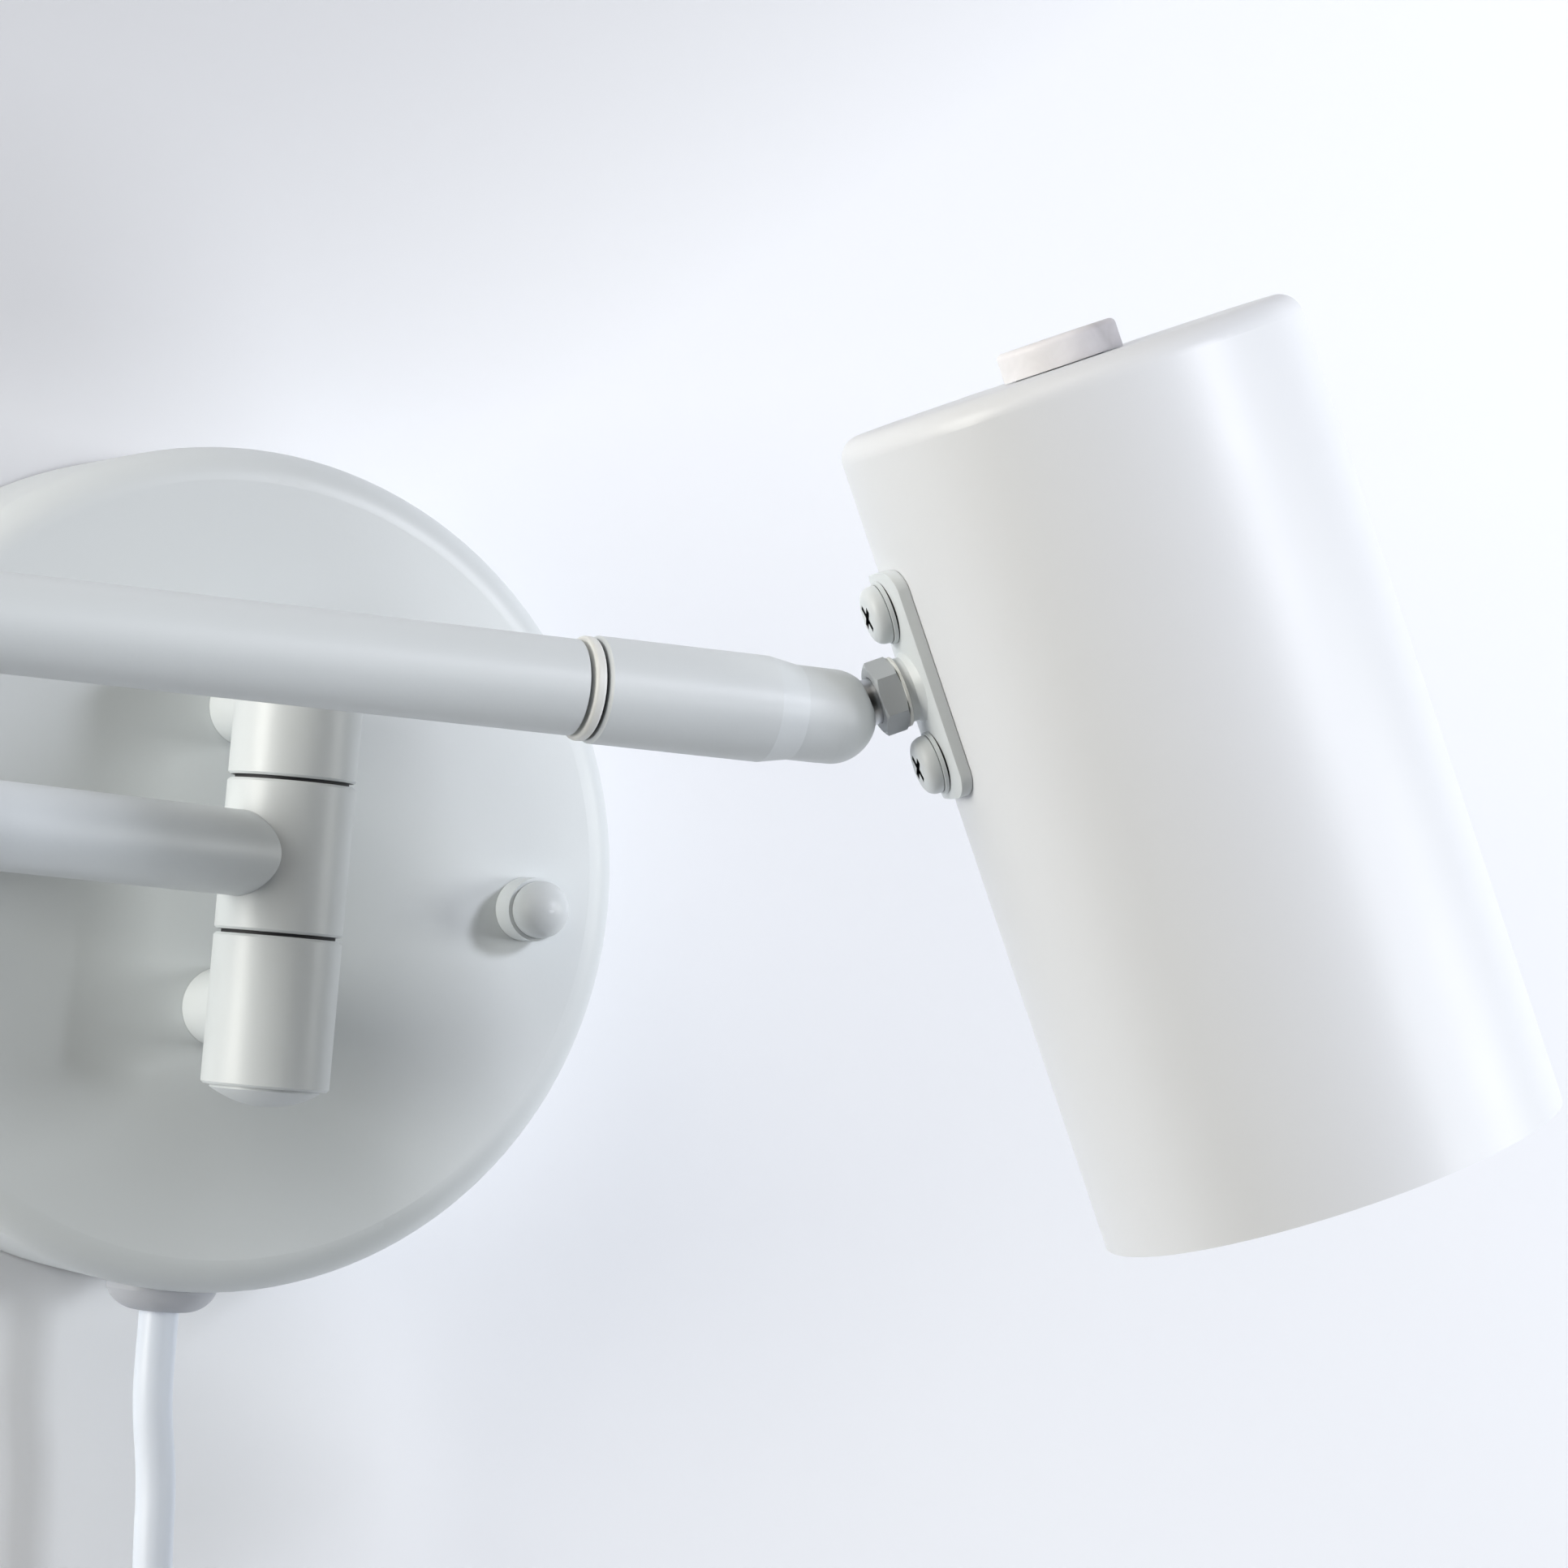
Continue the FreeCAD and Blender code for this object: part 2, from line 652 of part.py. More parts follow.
def shade_side_plate():
    """Flat bar with round ends and a round boss, its back hollowed to the shade's curve."""
    deep = plate_thick + shade_r - math.sqrt(shade_r ** 2 - (plate_width / 2) ** 2)
    bar = stadium(plate_length, plate_width, deep)
    front = [e for e in bar.Edges if e.BoundBox.XMax < 1e-6]
    bar = bar.makeFillet(plate_edge, front)
    bar = place(bar, FreeCAD.Placement(V(plate_face, 0, 0), turn()))
    bar = bar.fuse(rod(plate_boss_r, boss_back, plate_face + plate_edge))
    bar = bar.cut(shade_round(shade_r + seat_clear)).cut(rod(stud_stem_r + run_clear, 0, shade_axis))
    for side in (-1, 1):
        hole = rod(screw_r + seat_clear, 0, shade_axis)
        bar = bar.cut(place(hole, FreeCAD.Placement(V(0, 0, side * plate_screw_spacing / 2), turn())))
    return [place(bar.removeSplitter(), at_head)]


def at_screws(shape):
    return [place(shape, at_head.multiply(FreeCAD.Placement(V(0, 0, side * plate_screw_spacing / 2), turn())))
            for side in (-1, 1)]


def side_plate_screws():
    """Pan-head screws from the plate through the shade into their nuts."""
    seat = plate_face - screw_washer_h
    tip = strip_front + plate_nut_height + screw_past_nut
    rows = [(0, seat - screw_head_h),
            (screw_head_r * 0.62, seat - screw_head_h * 0.93,
             (screw_head_r * 0.32, seat - screw_head_h * 0.985)),
            (screw_head_r, seat - screw_head_h * 0.28,
             (screw_head_r * 0.91, seat - screw_head_h * 0.68)),
            (screw_head_r, seat), (screw_r, seat), (screw_r, tip), (0, tip)]
    return at_screws(along_x(revolved(rows)))


def side_plate_washers():
    seat = plate_face - screw_washer_h
    return at_screws(pipe(screw_washer_r, screw_r + seat_clear, seat, plate_face))


def side_plate_nuts():
    nut = hexagon(plate_nut_flats, strip_front, strip_front + plate_nut_height, screw_r + seat_clear)
    return at_screws(along_x(nut))


def inner_backing_strip():
    """Strip inside the shade, its outer face curved to the shade, flat for the nuts."""
    bar = Part.makeBox(strip_thick + shade_sheet, strip_width, strip_length,
                       V(strip_back - shade_sheet, -strip_width / 2, -strip_length / 2))
    bar = bar.common(shade_round(shade_r - shade_sheet - strip_clear))
    bar = bar.cut(rod(stud_stem_r + run_clear, 0, shade_axis))
    for side in (-1, 1):
        hole = rod(screw_r + seat_clear, 0, shade_axis)
        bar = bar.cut(place(hole, FreeCAD.Placement(V(0, 0, side * plate_screw_spacing / 2), turn())))
    return [place(bar, at_head)]


# ---------------------------------------------------------------- shade; top at z = 0, open end down
def shade_shell():
    """Spun cylinder with a closed, softly rounded top and a plain open end."""
    r, s, e = shade_r, shade_sheet, shade_edge_r
    ri, ei = r - s, e - s
    body = revolved([(0, 0), (r - e, 0), (r, -e, corner(r, 0, r - e, -e)), (r, -shade_length),
                     (ri, -shade_length), (ri, -s - ei), (ri - ei, -s, corner(ri, -s, ri - ei, -s - ei)),
                     (0, -s)])
    body = body.cut(upright(neck_r + seat_clear, -2 * s, s))
    drop = -shade_above_stud
    holes = [(drop, stud_stem_r + run_clear)]
    holes += [(drop + side * plate_screw_spacing / 2, screw_r + seat_clear) for side in (-1, 1)]
    for z, hole_r in holes:
        body = body.cut(Part.makeCylinder(hole_r, 2 * s + 2, V(-r - 1, 0, z), X))
    return [place(body, at_shade)]


holder_top = -shade_sheet


def lamp_holder_body():
    """Moulded lamp holder: threaded neck through the shade's top, switch housing and lamp well."""
    t = holder_top
    end = t - holder_length
    rows = [(0, neck_above), (neck_r, neck_above), (neck_r, t), (holder_cap_r, t),
            (holder_cap_r, t - holder_cap_l),
            (holder_r, t - holder_cap_l - holder_shoulder,
             corner(holder_r, t - holder_cap_l, holder_cap_r, t - holder_cap_l - holder_shoulder)),
            (holder_r, end + holder_edge), (holder_r - holder_edge, end), (0, end)]
    body = revolved(rows).cut(upright(holder_bore_r, end - 1, end + holder_bore_l))
    shaft_room = knob_gap - knob_shaft_l + knob_recess_h
    return [place(body.cut(upright(knob_shaft_r + run_clear, shaft_room - 0.5, neck_above + 1)), at_shade)]


def lamp_holder_shell():
    """Metal screw shell that the lamp turns into; its thread stays plain here."""
    a = holder_top - holder_length + shell_inset
    body = upright(shell_r, a, a + shell_length).cut(upright(shell_r - shell_wall, a - 1, a + shell_length + 1))
    return [place(body, at_shade)]


def lamp_holder_contact():
    """Sprung centre contact at the bottom of the well."""
    roof = holder_top - holder_length + holder_bore_l
    body = revolved([(0, roof), (contact_r, roof), (contact_r, roof - contact_h * 0.6),
                     (0, roof - contact_h, bulge(contact_r, roof - contact_h * 0.6, -contact_h * 0.4))])
    return [place(body, at_shade)]


def holder_neck_nut():
    return [place(hexagon(neck_nut_flats, 0, neck_nut_height, neck_r + seat_clear), at_shade)]


def switch_knob():
    """Short round knob with a hollow underside over the nut, and its shaft."""
    a, b, r, e = knob_gap, knob_gap + knob_height, knob_r, knob_edge
    recess = neck_nut_flats / math.sqrt(3) + knob_recess_clear
    roof = a + knob_recess_h
    tip = roof - knob_shaft_l
    rows = [(0, b), (r - e, b), (r, b - e, corner(r, b, r - e, b - e)), (r, a), (recess, a),
            (recess, roof), (knob_shaft_r, roof), (knob_shaft_r, tip), (0, tip)]
    return [place(revolved(rows), at_shade)]


# ---------------------------------------------------------------- cord, bushing, coil, plug
canopy_foot = canopy_rise - canopy_r
cord_top = canopy_foot - bushing_height


def cord_bushing():
    """Bowl-shaped strain relief under the canopy, with a threaded barrel through its wall."""
    z0, z1 = canopy_foot, cord_top
    mid = (bushing_foot_r + (bushing_flange_r - bushing_foot_r) * 0.62,
           z0 + (z1 - z0) * 0.72)
    body = revolved([(0, z0 + 1), (bushing_flange_r, z0 + 1), (bushing_flange_r, z0 - 0.4),
                     (bushing_foot_r, z1, mid), (0, z1)])
    body = place(body, FreeCAD.Placement(V(0, -bushing_out, 0), turn()))
    body = body.cut(Part.makeCylinder(canopy_r, canopy_depth, V(0, 0, canopy_rise), V(0, -1, 0)))
    barrel = Part.makeCylinder(bushing_barrel_r, bushing_barrel_l, V(0, -bushing_out, z0 - 0.5), Z)
    return [body.fuse(barrel).removeSplitter()]


def cord_bushing_nut():
    corner_r = bushing_nut_flats / math.sqrt(3)
    low = canopy_rise - math.sqrt((canopy_r - canopy_sheet) ** 2 - corner_r ** 2) + seat_clear
    nut = hexagon(bushing_nut_flats, low, low + bushing_nut_height, bushing_barrel_r + seat_clear)
    return [place(nut, FreeCAD.Placement(V(0, -bushing_out, 0), turn()))]


coil_pitch = 2 * cord_r + cord_clear
coil_start = V(-coil_outer, -bushing_out, -coil_drop)

# the hanging stretch: chosen points, from the bushing to the coil
cord_points = [V(0, -20.3, cord_top), V(0, -20.3, -67), V(0.1, -20.4, -76.5), V(2, -20.2, -87),
               V(2.3, -20.4, -98), V(3.4, -20.3, -109.5), V(3.6, -20.2, -124), V(1.5, -20.4, -142),
               V(-5, -20.3, -162), V(-15.5, -20.4, -184), V(-29, -20.5, -207), V(-40.6, -20.2, -229),
               V(-44.6, -20.4, -249), coil_start]


def fillet_path(points):
    """Straight runs joined by tangent arcs; returns the edges, the length and the arc radii."""
    edges, radii, length = [], [], 0.0
    runs = [(b - a).Length for a, b in zip(points, points[1:])]
    here = points[0]
    for k in range(1, len(points) - 1):
        p = points[k]
        d0 = (p - points[k - 1]).normalize()
        d1 = (points[k + 1] - p).normalize()
        half = d0.getAngle(d1) / 2
        radius = 0.45 * min(runs[k - 1], runs[k]) / math.tan(half)
        cut = radius * math.tan(half)
        a, b = p - d0 * cut, p + d1 * cut
        inward = (d1 - d0).normalize()
        centre = p + inward * (radius / math.cos(half))
        mid = centre - inward * radius
        edges.append(Part.LineSegment(here, a).toShape())
        edges.append(Part.Arc(a, mid, b).toShape())
        length += (a - here).Length + radius * 2 * half
        radii.append(radius)
        here = b
    edges.append(Part.LineSegment(here, points[-1]).toShape())
    return edges, length + (points[-1] - here).Length, radii


def swept(edges, r):
    """Round tube along a smooth chain of edges."""
    start = edges[0].Vertexes[0].Point
    way = (edges[0].valueAt(edges[0].LastParameter) - edges[0].valueAt(edges[0].FirstParameter)).normalize()
    ring = Part.Wire([Part.makeCircle(r, start, way)])
    return Part.Wire(edges).makePipeShell([ring], True, False)


def power_cord():
    edges, length, radii = fillet_path(cord_points)
    body = swept(edges, cord_r)
    share = body.Volume / (math.pi * cord_r ** 2 * length)
    print("power_cord radii", [round(r, 1) for r in radii], "length", round(length, 1),
          "volume share", round(share, 5))
    return [body]


def coil_point(u):
    """Point of the coil's centre line after u turns: in through one layer and out through the next."""
    radius = coil_outer - coil_pitch * (coil_layer_turns - abs(coil_layer_turns - u))
    climb = min(max((u - coil_layer_turns + 0.25) / 0.5, 0.0), 1.0)
    rise = coil_pitch * (1 - math.cos(math.pi * climb)) / 2
    a = math.pi + 2 * math.pi * u
    return V(radius * math.cos(a), -bushing_out + rise, -coil_drop + radius * math.sin(a))


def coil_way(u):
    if u < 1e-6 or u > coil_turns - 1e-6:
        return V(0, 0, -1)
    step = 0.02
    return (coil_point(u + step) - coil_point(u - step)).normalize()


def arc_from(p, way, q):
    """Arc that leaves p along way and ends at q."""
    chord = q - p
    side = chord - way * chord.dot(way)
    if side.Length < 1e-6 * chord.Length:
        return Part.LineSegment(p, q).toShape()
    side.normalize()
    half = way.getAngle(chord)
    mid = p + chord * 0.5 - (side * math.cos(half) - way * math.sin(half)).normalize() * (
        chord.Length / 2 * math.tan(half / 2))
    return Part.Arc(p, mid, q).toShape()


def biarc(p0, t0, p1, t1):
    """Two tangent arcs from p0 along t0 to p1 along t1."""
    v, t = p1 - p0, t0 + t1
    k = 2 * (1 - t0.dot(t1))
    d = (-v.dot(t) + math.sqrt(v.dot(t) ** 2 + k * v.dot(v))) / k
    joint = (p0 + p1 + (t0 - t1) * d) * 0.5
    second = arc_from(p1, t1 * -1, joint)
    middle = second.valueAt((second.FirstParameter + second.LastParameter) / 2)
    return [arc_from(p0, t0, joint), Part.Arc(joint, middle, p1).toShape()]


def cord_coil():
    """Put-away length: one unbroken tube of eight turns in two layers, its ends straight."""
    quarter = 0.25
    count = int(round(coil_turns / quarter))
    knots = [k * quarter for k in range(count + 1)]
    lead = V(0, 0, -2 * cord_r)
    first, last = coil_point(0) + lead, coil_point(coil_turns) + lead
    edges = [Part.LineSegment(coil_start, first).toShape()]
    points = [coil_point(u) + lead for u in knots]
    ways = [coil_way(u) for u in knots]
    for k in range(count):
        edges += biarc(points[k], ways[k], points[k + 1], ways[k + 1])
    edges.append(Part.LineSegment(last, last + V(0, 0, -coil_tail)).toShape())
    body = swept(edges, cord_r)
    length = sum(e.Length for e in edges)
    line = []
    for e in edges:
        n = 12
        line += [e.valueAt(e.FirstParameter + (e.LastParameter - e.FirstParameter) * k / n) for k in range(n)]
    run, walked = 0.0, [0.0]
    for a, b in zip(line, line[1:]):
        run += (b - a).Length
        walked.append(run)
    gap = min((line[i] - line[j]).Length - 2 * cord_r for i in range(0, len(line)) for j in range(0, i)
              if walked[i] - walked[j] > 8 * cord_r)
    print("cord_coil length", round(length, 1), "least gap", round(gap, 2), "volume share",
          round(body.Volume / (math.pi * cord_r ** 2 * length), 5))
    return [body]


def cord_tie():
    """Strap round all the turns at the coil's right side."""
    half_w = tie_width / 2
    inner_turn = coil_outer - coil_pitch * (coil_layer_turns - 0.25)
    outer_turn = coil_outer - coil_pitch * 0.5
    x0 = math.sqrt(inner_turn ** 2 - half_w ** 2) - cord_r - cord_clear
    x1 = outer_turn + cord_r + cord_clear
    y0 = -bushing_out - cord_r - cord_clear
    y1 = -bushing_out + coil_pitch + cord_r + cord_clear
    low = -coil_drop - 2 * cord_r - half_w
    t = tie_thick
    outer = Part.makeBox(x1 - x0 + 2 * t, y1 - y0 + 2 * t, tie_width, V(x0 - t, y0 - t, low))
    outer = outer.makeFillet(3 * t, [e for e in outer.Edges if abs(e.tangentAt(e.FirstParameter).z) > 0.9])
    inner = Part.makeBox(x1 - x0, y1 - y0, tie_width + 2, V(x0, y0, low - 1))
    inner = inner.makeFillet(2 * t, [e for e in inner.Edges if abs(e.tangentAt(e.FirstParameter).z) > 0.9])
    return [outer.cut(inner)]


plug_top = coil_point(coil_turns) + V(0, 0, -2 * cord_r - coil_tail)
plug_shift = V(plug_top.x, plug_top.y, plug_top.z)


def plug_body():
    """Moulded plug: round neck, shoulders, and a flat grip that narrows towards the cord."""
    half_w, half_t = plug_body_w / 2, plug_body_t / 2

    def section(w, t, z):
        c = min(w, t) * 0.6
        pts = [(w - c, t), (w, t - c), (w, -t + c), (w - c, -t), (-w + c, -t), (-w, -t + c),
               (-w, t - c), (-w + c, t)]
        ring = []
        for k in range(0, 8, 2):
            (ax, ay), (bx, by) = pts[k], pts[k + 1]
            cx, cy = (w - c) * (1 if ax + bx > 0 else -1), (t - c) * (1 if ay + by > 0 else -1)
            ox, oy = (1 if ax + bx > 0 else -1) * c * math.sqrt(0.5), (1 if ay + by > 0 else -1) * c * math.sqrt(0.5)
            nx, ny = pts[(k + 2) % 8]
            ring.append(Part.Arc(V(ax, ay, z), V(cx + ox, cy + oy, z), V(bx, by, z)).toShape())
            ring.append(Part.LineSegment(V(bx, by, z), V(nx, ny, z)).toShape())
        return Part.Wire(ring)

    top = -plug_neck_l
    low = top - (plug_body_l - plug_neck_l)
    rings = [section(plug_neck_r, plug_neck_r * 0.98, 0), section(plug_neck_r * 1.15, plug_neck_r * 1.1, top * 0.6),
             section(half_w * 0.8, half_t * 0.85, top), section(half_w, half_t, (top + low) / 2),
             section(half_w * 0.94, half_t * 0.94, low)]
    body = Part.makeLoft(rings, True, False)
    return [place(body, FreeCAD.Placement(plug_shift, turn()))]


def plug_blades():
    out = []
    for side in (-1, 1):
        x = side * blade_spacing / 2
        low = -plug_body_l - blade_length
        blade = Part.makeBox(blade_thick, blade_width, blade_length, V(x - blade_thick / 2, -blade_width / 2, low))
        edge = [e for e in blade.Edges if abs(e.tangentAt(e.FirstParameter).x) > 0.9
                and e.BoundBox.ZMax < low + 1e-6]
        blade = blade.makeFillet(blade_width * 0.3, edge)
        hole = Part.makeCylinder(blade_width * 0.22, 4 * blade_thick,
                                 V(x - 2 * blade_thick, 0, low + blade_width * 0.6), X)
        out.append(place(blade.cut(hole), FreeCAD.Placement(plug_shift, turn())))
    return out


NODES = {
    "wall_canopy": lambda: [wall_canopy()],
    "mounting_crossbar": lambda: [mounting_crossbar()],
    "crossbar_studs": crossbar_studs,
    "stud_lock_nuts": stud_lock_nuts,
    "cap_nuts": cap_nuts,
    "ground_screw": ground_screw,
    "terminal_block": terminal_block,
    "upper_wall_knuckle": lambda: wall_knuckle(1),
    "lower_wall_knuckle": lambda: wall_knuckle(-1),
    "stem_nipples": stem_nipples,
    "stem_lock_nuts": stem_lock_nuts,
    "wall_pivot_tube": wall_pivot_tube,
    "wall_pivot_caps": wall_pivot_caps,
    "wall_knuckle_washers": wall_knuckle_washers,
    "lower_arm_wall_knuckle": lower_arm_wall_knuckle,
    "lower_arm_tube": lower_arm_tube,
    "lower_arm_elbow_knuckle": lower_arm_elbow_knuckle,
    "elbow_pivot_tube": elbow_pivot_tube,
    "elbow_pivot_caps": elbow_pivot_caps,
    "elbow_washer": elbow_washer,
    "upper_arm_elbow_knuckle": upper_arm_elbow_knuckle,
    "upper_arm_tube": upper_arm_tube,
    "arm_end_spigot": arm_end_spigot,
    "sleeve_spacer_ring": sleeve_spacer_ring,
    "sleeve_clip": sleeve_clip,
    "swivel_sleeve": swivel_sleeve,
    "ball_friction_cup": ball_friction_cup,
    "friction_bush": friction_bush,
    "ball_stud": ball_stud,
    "stud_collar": stud_collar,
    "stud_slip_washer": stud_slip_washer,
    "stud_end_nut": stud_end_nut,
    "shade_side_plate": shade_side_plate,
    "side_plate_screws": side_plate_screws,
    "side_plate_washers": side_plate_washers,
    "side_plate_nuts": side_plate_nuts,
    "inner_backing_strip": inner_backing_strip,
    "shade_shell": shade_shell,
    "lamp_holder_body": lamp_holder_body,
    "lamp_holder_shell": lamp_holder_shell,
    "lamp_holder_contact": lamp_holder_contact,
    "holder_neck_nut": holder_neck_nut,
    "switch_knob": switch_knob,
    "cord_bushing": cord_bushing,
    "cord_bushing_nut": cord_bushing_nut,
    "power_cord": power_cord,
    "cord_coil": cord_coil,
    "cord_tie": cord_tie,
    "plug_body": plug_body,
    "plug_blades": plug_blades,
}

os.makedirs("parts", exist_ok=True)
for name, make in NODES.items():
    solids = make()
    shape = solids[0] if len(solids) == 1 else Part.makeCompound(solids)
    print(name, "solids", len(shape.Solids), "volume", round(shape.Volume, 1), "valid", shape.isValid())
    shape.exportStep("parts/" + name + ".step")
for label, frame in (("column", at_column), ("lower", at_lower), ("elbow", at_elbow), ("upper", at_upper),
                     ("ball", at_sleeve), ("stud", at_stud), ("head", at_head), ("shade", at_shade)):
    p, x, y, z = (frame.multVec(V(0, 0, 0)), frame.Rotation.multVec(X), frame.Rotation.multVec(Y),
                  frame.Rotation.multVec(Z))
    print(label, [[round(c, 5) for c in v] for v in (p, x, y, z)])
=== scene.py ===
"""Articulating wall lamp: finishes, small hardware, cord, studio and camera over the packed solids."""
import json
import math

import bmesh
import bpy
from bpy.props import FloatProperty, FloatVectorProperty, IntProperty, PointerProperty, StringProperty
from mathutils import Matrix, Vector


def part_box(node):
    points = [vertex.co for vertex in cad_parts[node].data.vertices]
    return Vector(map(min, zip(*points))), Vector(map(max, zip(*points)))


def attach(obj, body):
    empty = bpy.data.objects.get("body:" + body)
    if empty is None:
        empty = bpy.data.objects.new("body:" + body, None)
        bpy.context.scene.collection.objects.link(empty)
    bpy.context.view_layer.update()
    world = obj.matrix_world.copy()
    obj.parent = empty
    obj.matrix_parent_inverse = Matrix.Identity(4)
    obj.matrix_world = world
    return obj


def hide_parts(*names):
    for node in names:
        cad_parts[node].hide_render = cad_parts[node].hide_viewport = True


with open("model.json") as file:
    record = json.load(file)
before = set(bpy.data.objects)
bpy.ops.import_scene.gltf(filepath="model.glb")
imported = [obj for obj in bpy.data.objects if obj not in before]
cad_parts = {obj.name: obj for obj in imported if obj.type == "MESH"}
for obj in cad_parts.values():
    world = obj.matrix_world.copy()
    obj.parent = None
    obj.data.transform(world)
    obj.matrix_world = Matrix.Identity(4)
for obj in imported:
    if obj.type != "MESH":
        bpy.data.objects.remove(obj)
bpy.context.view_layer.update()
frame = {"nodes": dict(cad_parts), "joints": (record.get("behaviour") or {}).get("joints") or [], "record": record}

bl_info = {
    "name": "Articulating wall lamp",
    "version": (1, 0, 0),
    "blender": (4, 5, 0),
    "location": "3D Viewport > Sidebar > Wall lamp",
    "description": "Dresses a swing-arm wall lamp: finishes, screws, threads, cord and studio",
    "category": "Object",
}

CAD = frame["nodes"]
JOINTS = {joint["name"]: joint for joint in frame["joints"]}

# The lamp head's own frame: X along the ball stud into the shade, Z up the shade's axis.
HEAD_X = Vector(JOINTS["head_spin"]["axis"]).normalized()
HEAD_Z = Vector(JOINTS["switch_turn"]["axis"]).normalized()
HEAD_Y = HEAD_Z.cross(HEAD_X).normalized()
BALL = Vector(JOINTS["head_spin"]["pos_m"])
SHADE_TOP = Vector(JOINTS["switch_turn"]["pos_m"])


# ---------------------------------------------------------------- sizes and colours
def number(text, default, **more):
    """A property named by the first sentence of its text."""
    return FloatProperty(name=text.split(".")[0], description=text, default=default, **more)


def length(text, default):
    return number(text, default, unit="LENGTH")


def power(text, default):
    return number(text, default, unit="POWER")


def angle(text, default):
    return number(text, default, unit="ROTATION")


def hex_colour(text, default):
    return StringProperty(name=text.split(".")[0], description=text + ", sRGB hex", default=default)


class WallLampFinishes(bpy.types.PropertyGroup):
    """Colours and gloss of the lamp's finishes."""
    paint: hex_colour("Powder coat", "#DDE2E4")
    shade_paint: hex_colour("Powder coat on the shade", "#E6E8EB")
    zinc: hex_colour("Zinc plate", "#C2C5C8")
    brass: hex_colour("Brass", "#C8A968")
    nylon: hex_colour("Nylon washers", "#E9EAE6")
    moulding: hex_colour("White mouldings", "#E2E5E8")
    knob: hex_colour("Milky knob", "#F0EDF0")
    # greyer than the white mouldings: painted shade for the shadow under the canopy
    bushing: hex_colour("Cord bushing", "#BFC2C9")
    # the collar's grey is painted shade: the same white powder coat as the rest, darkened
    collar: hex_colour("Lock collar, handled until it greyed", "#B7BCC0")
    # far darker than the zinc: bare steel darkened as painted shade inside the recesses
    recess_steel_and_shade: hex_colour("Bare steel in the screw recesses", "#4A4B50")
    # near black: painted shade for the dark seams between the knuckles, not the washers' own colour
    washer: hex_colour("Knuckle washer", "#2B2C2F")
    cord: hex_colour("Cord jacket", "#E9F0FC")
    rubber: hex_colour("Rubber bush", "#1C1C1D")
    paint_roughness: number("Paint roughness. Of the powder coat", 0.40, min=0.0, max=1.0, subtype="FACTOR")
    orange_peel: length("Orange peel. Spacing of the low ripples in the powder coat", 0.0014)
    # gaps narrower than this reach are darkened as painted shade
    seam_shade_reach: length("Seam reach. Gaps narrower than this stay dark", 0.0009)
    paint_grain: length("Paint grain. Spacing of the powder's fine grain, drawn coarse enough to show", 0.00035)


class WallLampCord(bpy.types.PropertyGroup):
    """Sizes of the power cord and its put-away coil."""
    radius: length("Cord radius. Half the jacket's thickness", 0.0029)
    whole_length: length("Cord length. Bushing to plug", 1.8)
    coil_radius: length("Coil radius. Outermost turn's centre line", 0.045)
    coil_pitch: length("Turn spacing. From one turn's centre line to the next", 0.0063)
    coil_turns: number("Turns. In both layers of the coil", 8.0)
    layer_turns: number("Turns inwards. Before the coil starts outwards again", 4.25)
    turn_points: IntProperty(name="Points for each turn", description="Control points on one turn", default=16)
    tail: length("Tail. From the coil to the plug", 0.040)


class WallLampScrews(bpy.types.PropertyGroup):
    """Sizes of the pan-head screws on the side plate."""
    head_radius: length("Head radius", 0.0038)
    head_height: length("Head height", 0.0021)
    shank_radius: length("Shank radius", 0.0020)
    thread_pitch: length("Thread pitch", 0.0007)
    seat: length("Seat. Underside of the heads, from the ball's centre", 0.01083)
    tip: length("Tip. End of the shanks, from the ball's centre", 0.01853)
    spacing: length("Spacing. Between the two screws", 0.020)
    recess_width: length("Recess width. Across one arm of the cross", 0.00115)
    recess_reach: length("Recess reach. Tip to tip across the cross", 0.0047)
    recess_depth: length("Recess depth", 0.0017)
    turned: angle("Recess turn. How far the cross is turned", 0.6)


class WallLampSidePlate(bpy.types.PropertyGroup):
    """Sizes of the strap bent round the shade, which the ball stud's boss stands on."""
    width: length("Plate width. Round the shade", 0.0134)
    long: length("Plate length. Along the shade", 0.0299)
    corner: length("Corner radius", 0.0032)
    rim: length("Rim. Rounding of the plate's edges", 0.0006)
    shade_radius: length("Shade radius", 0.0307)
    face: length("Plate face. Crown of the plate, from the ball's centre", 0.01133)
    boss_face: length("Boss face. From the ball's centre", 0.00973)
    boss_radius: length("Boss radius", 0.0042)
    boss_foot: length("Boss foot. Its radius where it meets the plate", 0.0050)
    stud_hole: length("Stud hole. Half its width", 0.00305)


class WallLampThreads(bpy.types.PropertyGroup):
    """Threads inside the canopy and the lamp holder."""
    stud_radius: length("Stud radius", 0.0020)
    stud_pitch: length("Stud pitch", 0.0007)
    stud_tip: length("Stud tip. Out from the wall", 0.03945)
    nipple_radius: length("Nipple radius", 0.0050)
    nipple_bore: length("Nipple bore. Half its width", 0.0036)
    nipple_pitch: length("Nipple pitch", 0.0010)
    shell_radius: length("Shell radius. Outside the lamp holder's rolled shell", 0.01345)
    shell_sheet: length("Shell sheet. Thickness of the shell", 0.00035)
    shell_pitch: length("Shell pitch. One turn of the lamp thread", 0.00362)
    shell_wave: length("Shell wave. Depth of the rolled thread", 0.0007)
    shell_rim: length("Shell rim. Open end, below the shade's top", 0.0462)
    shell_back: length("Shell back. Inner end, below the shade's top", 0.0242)


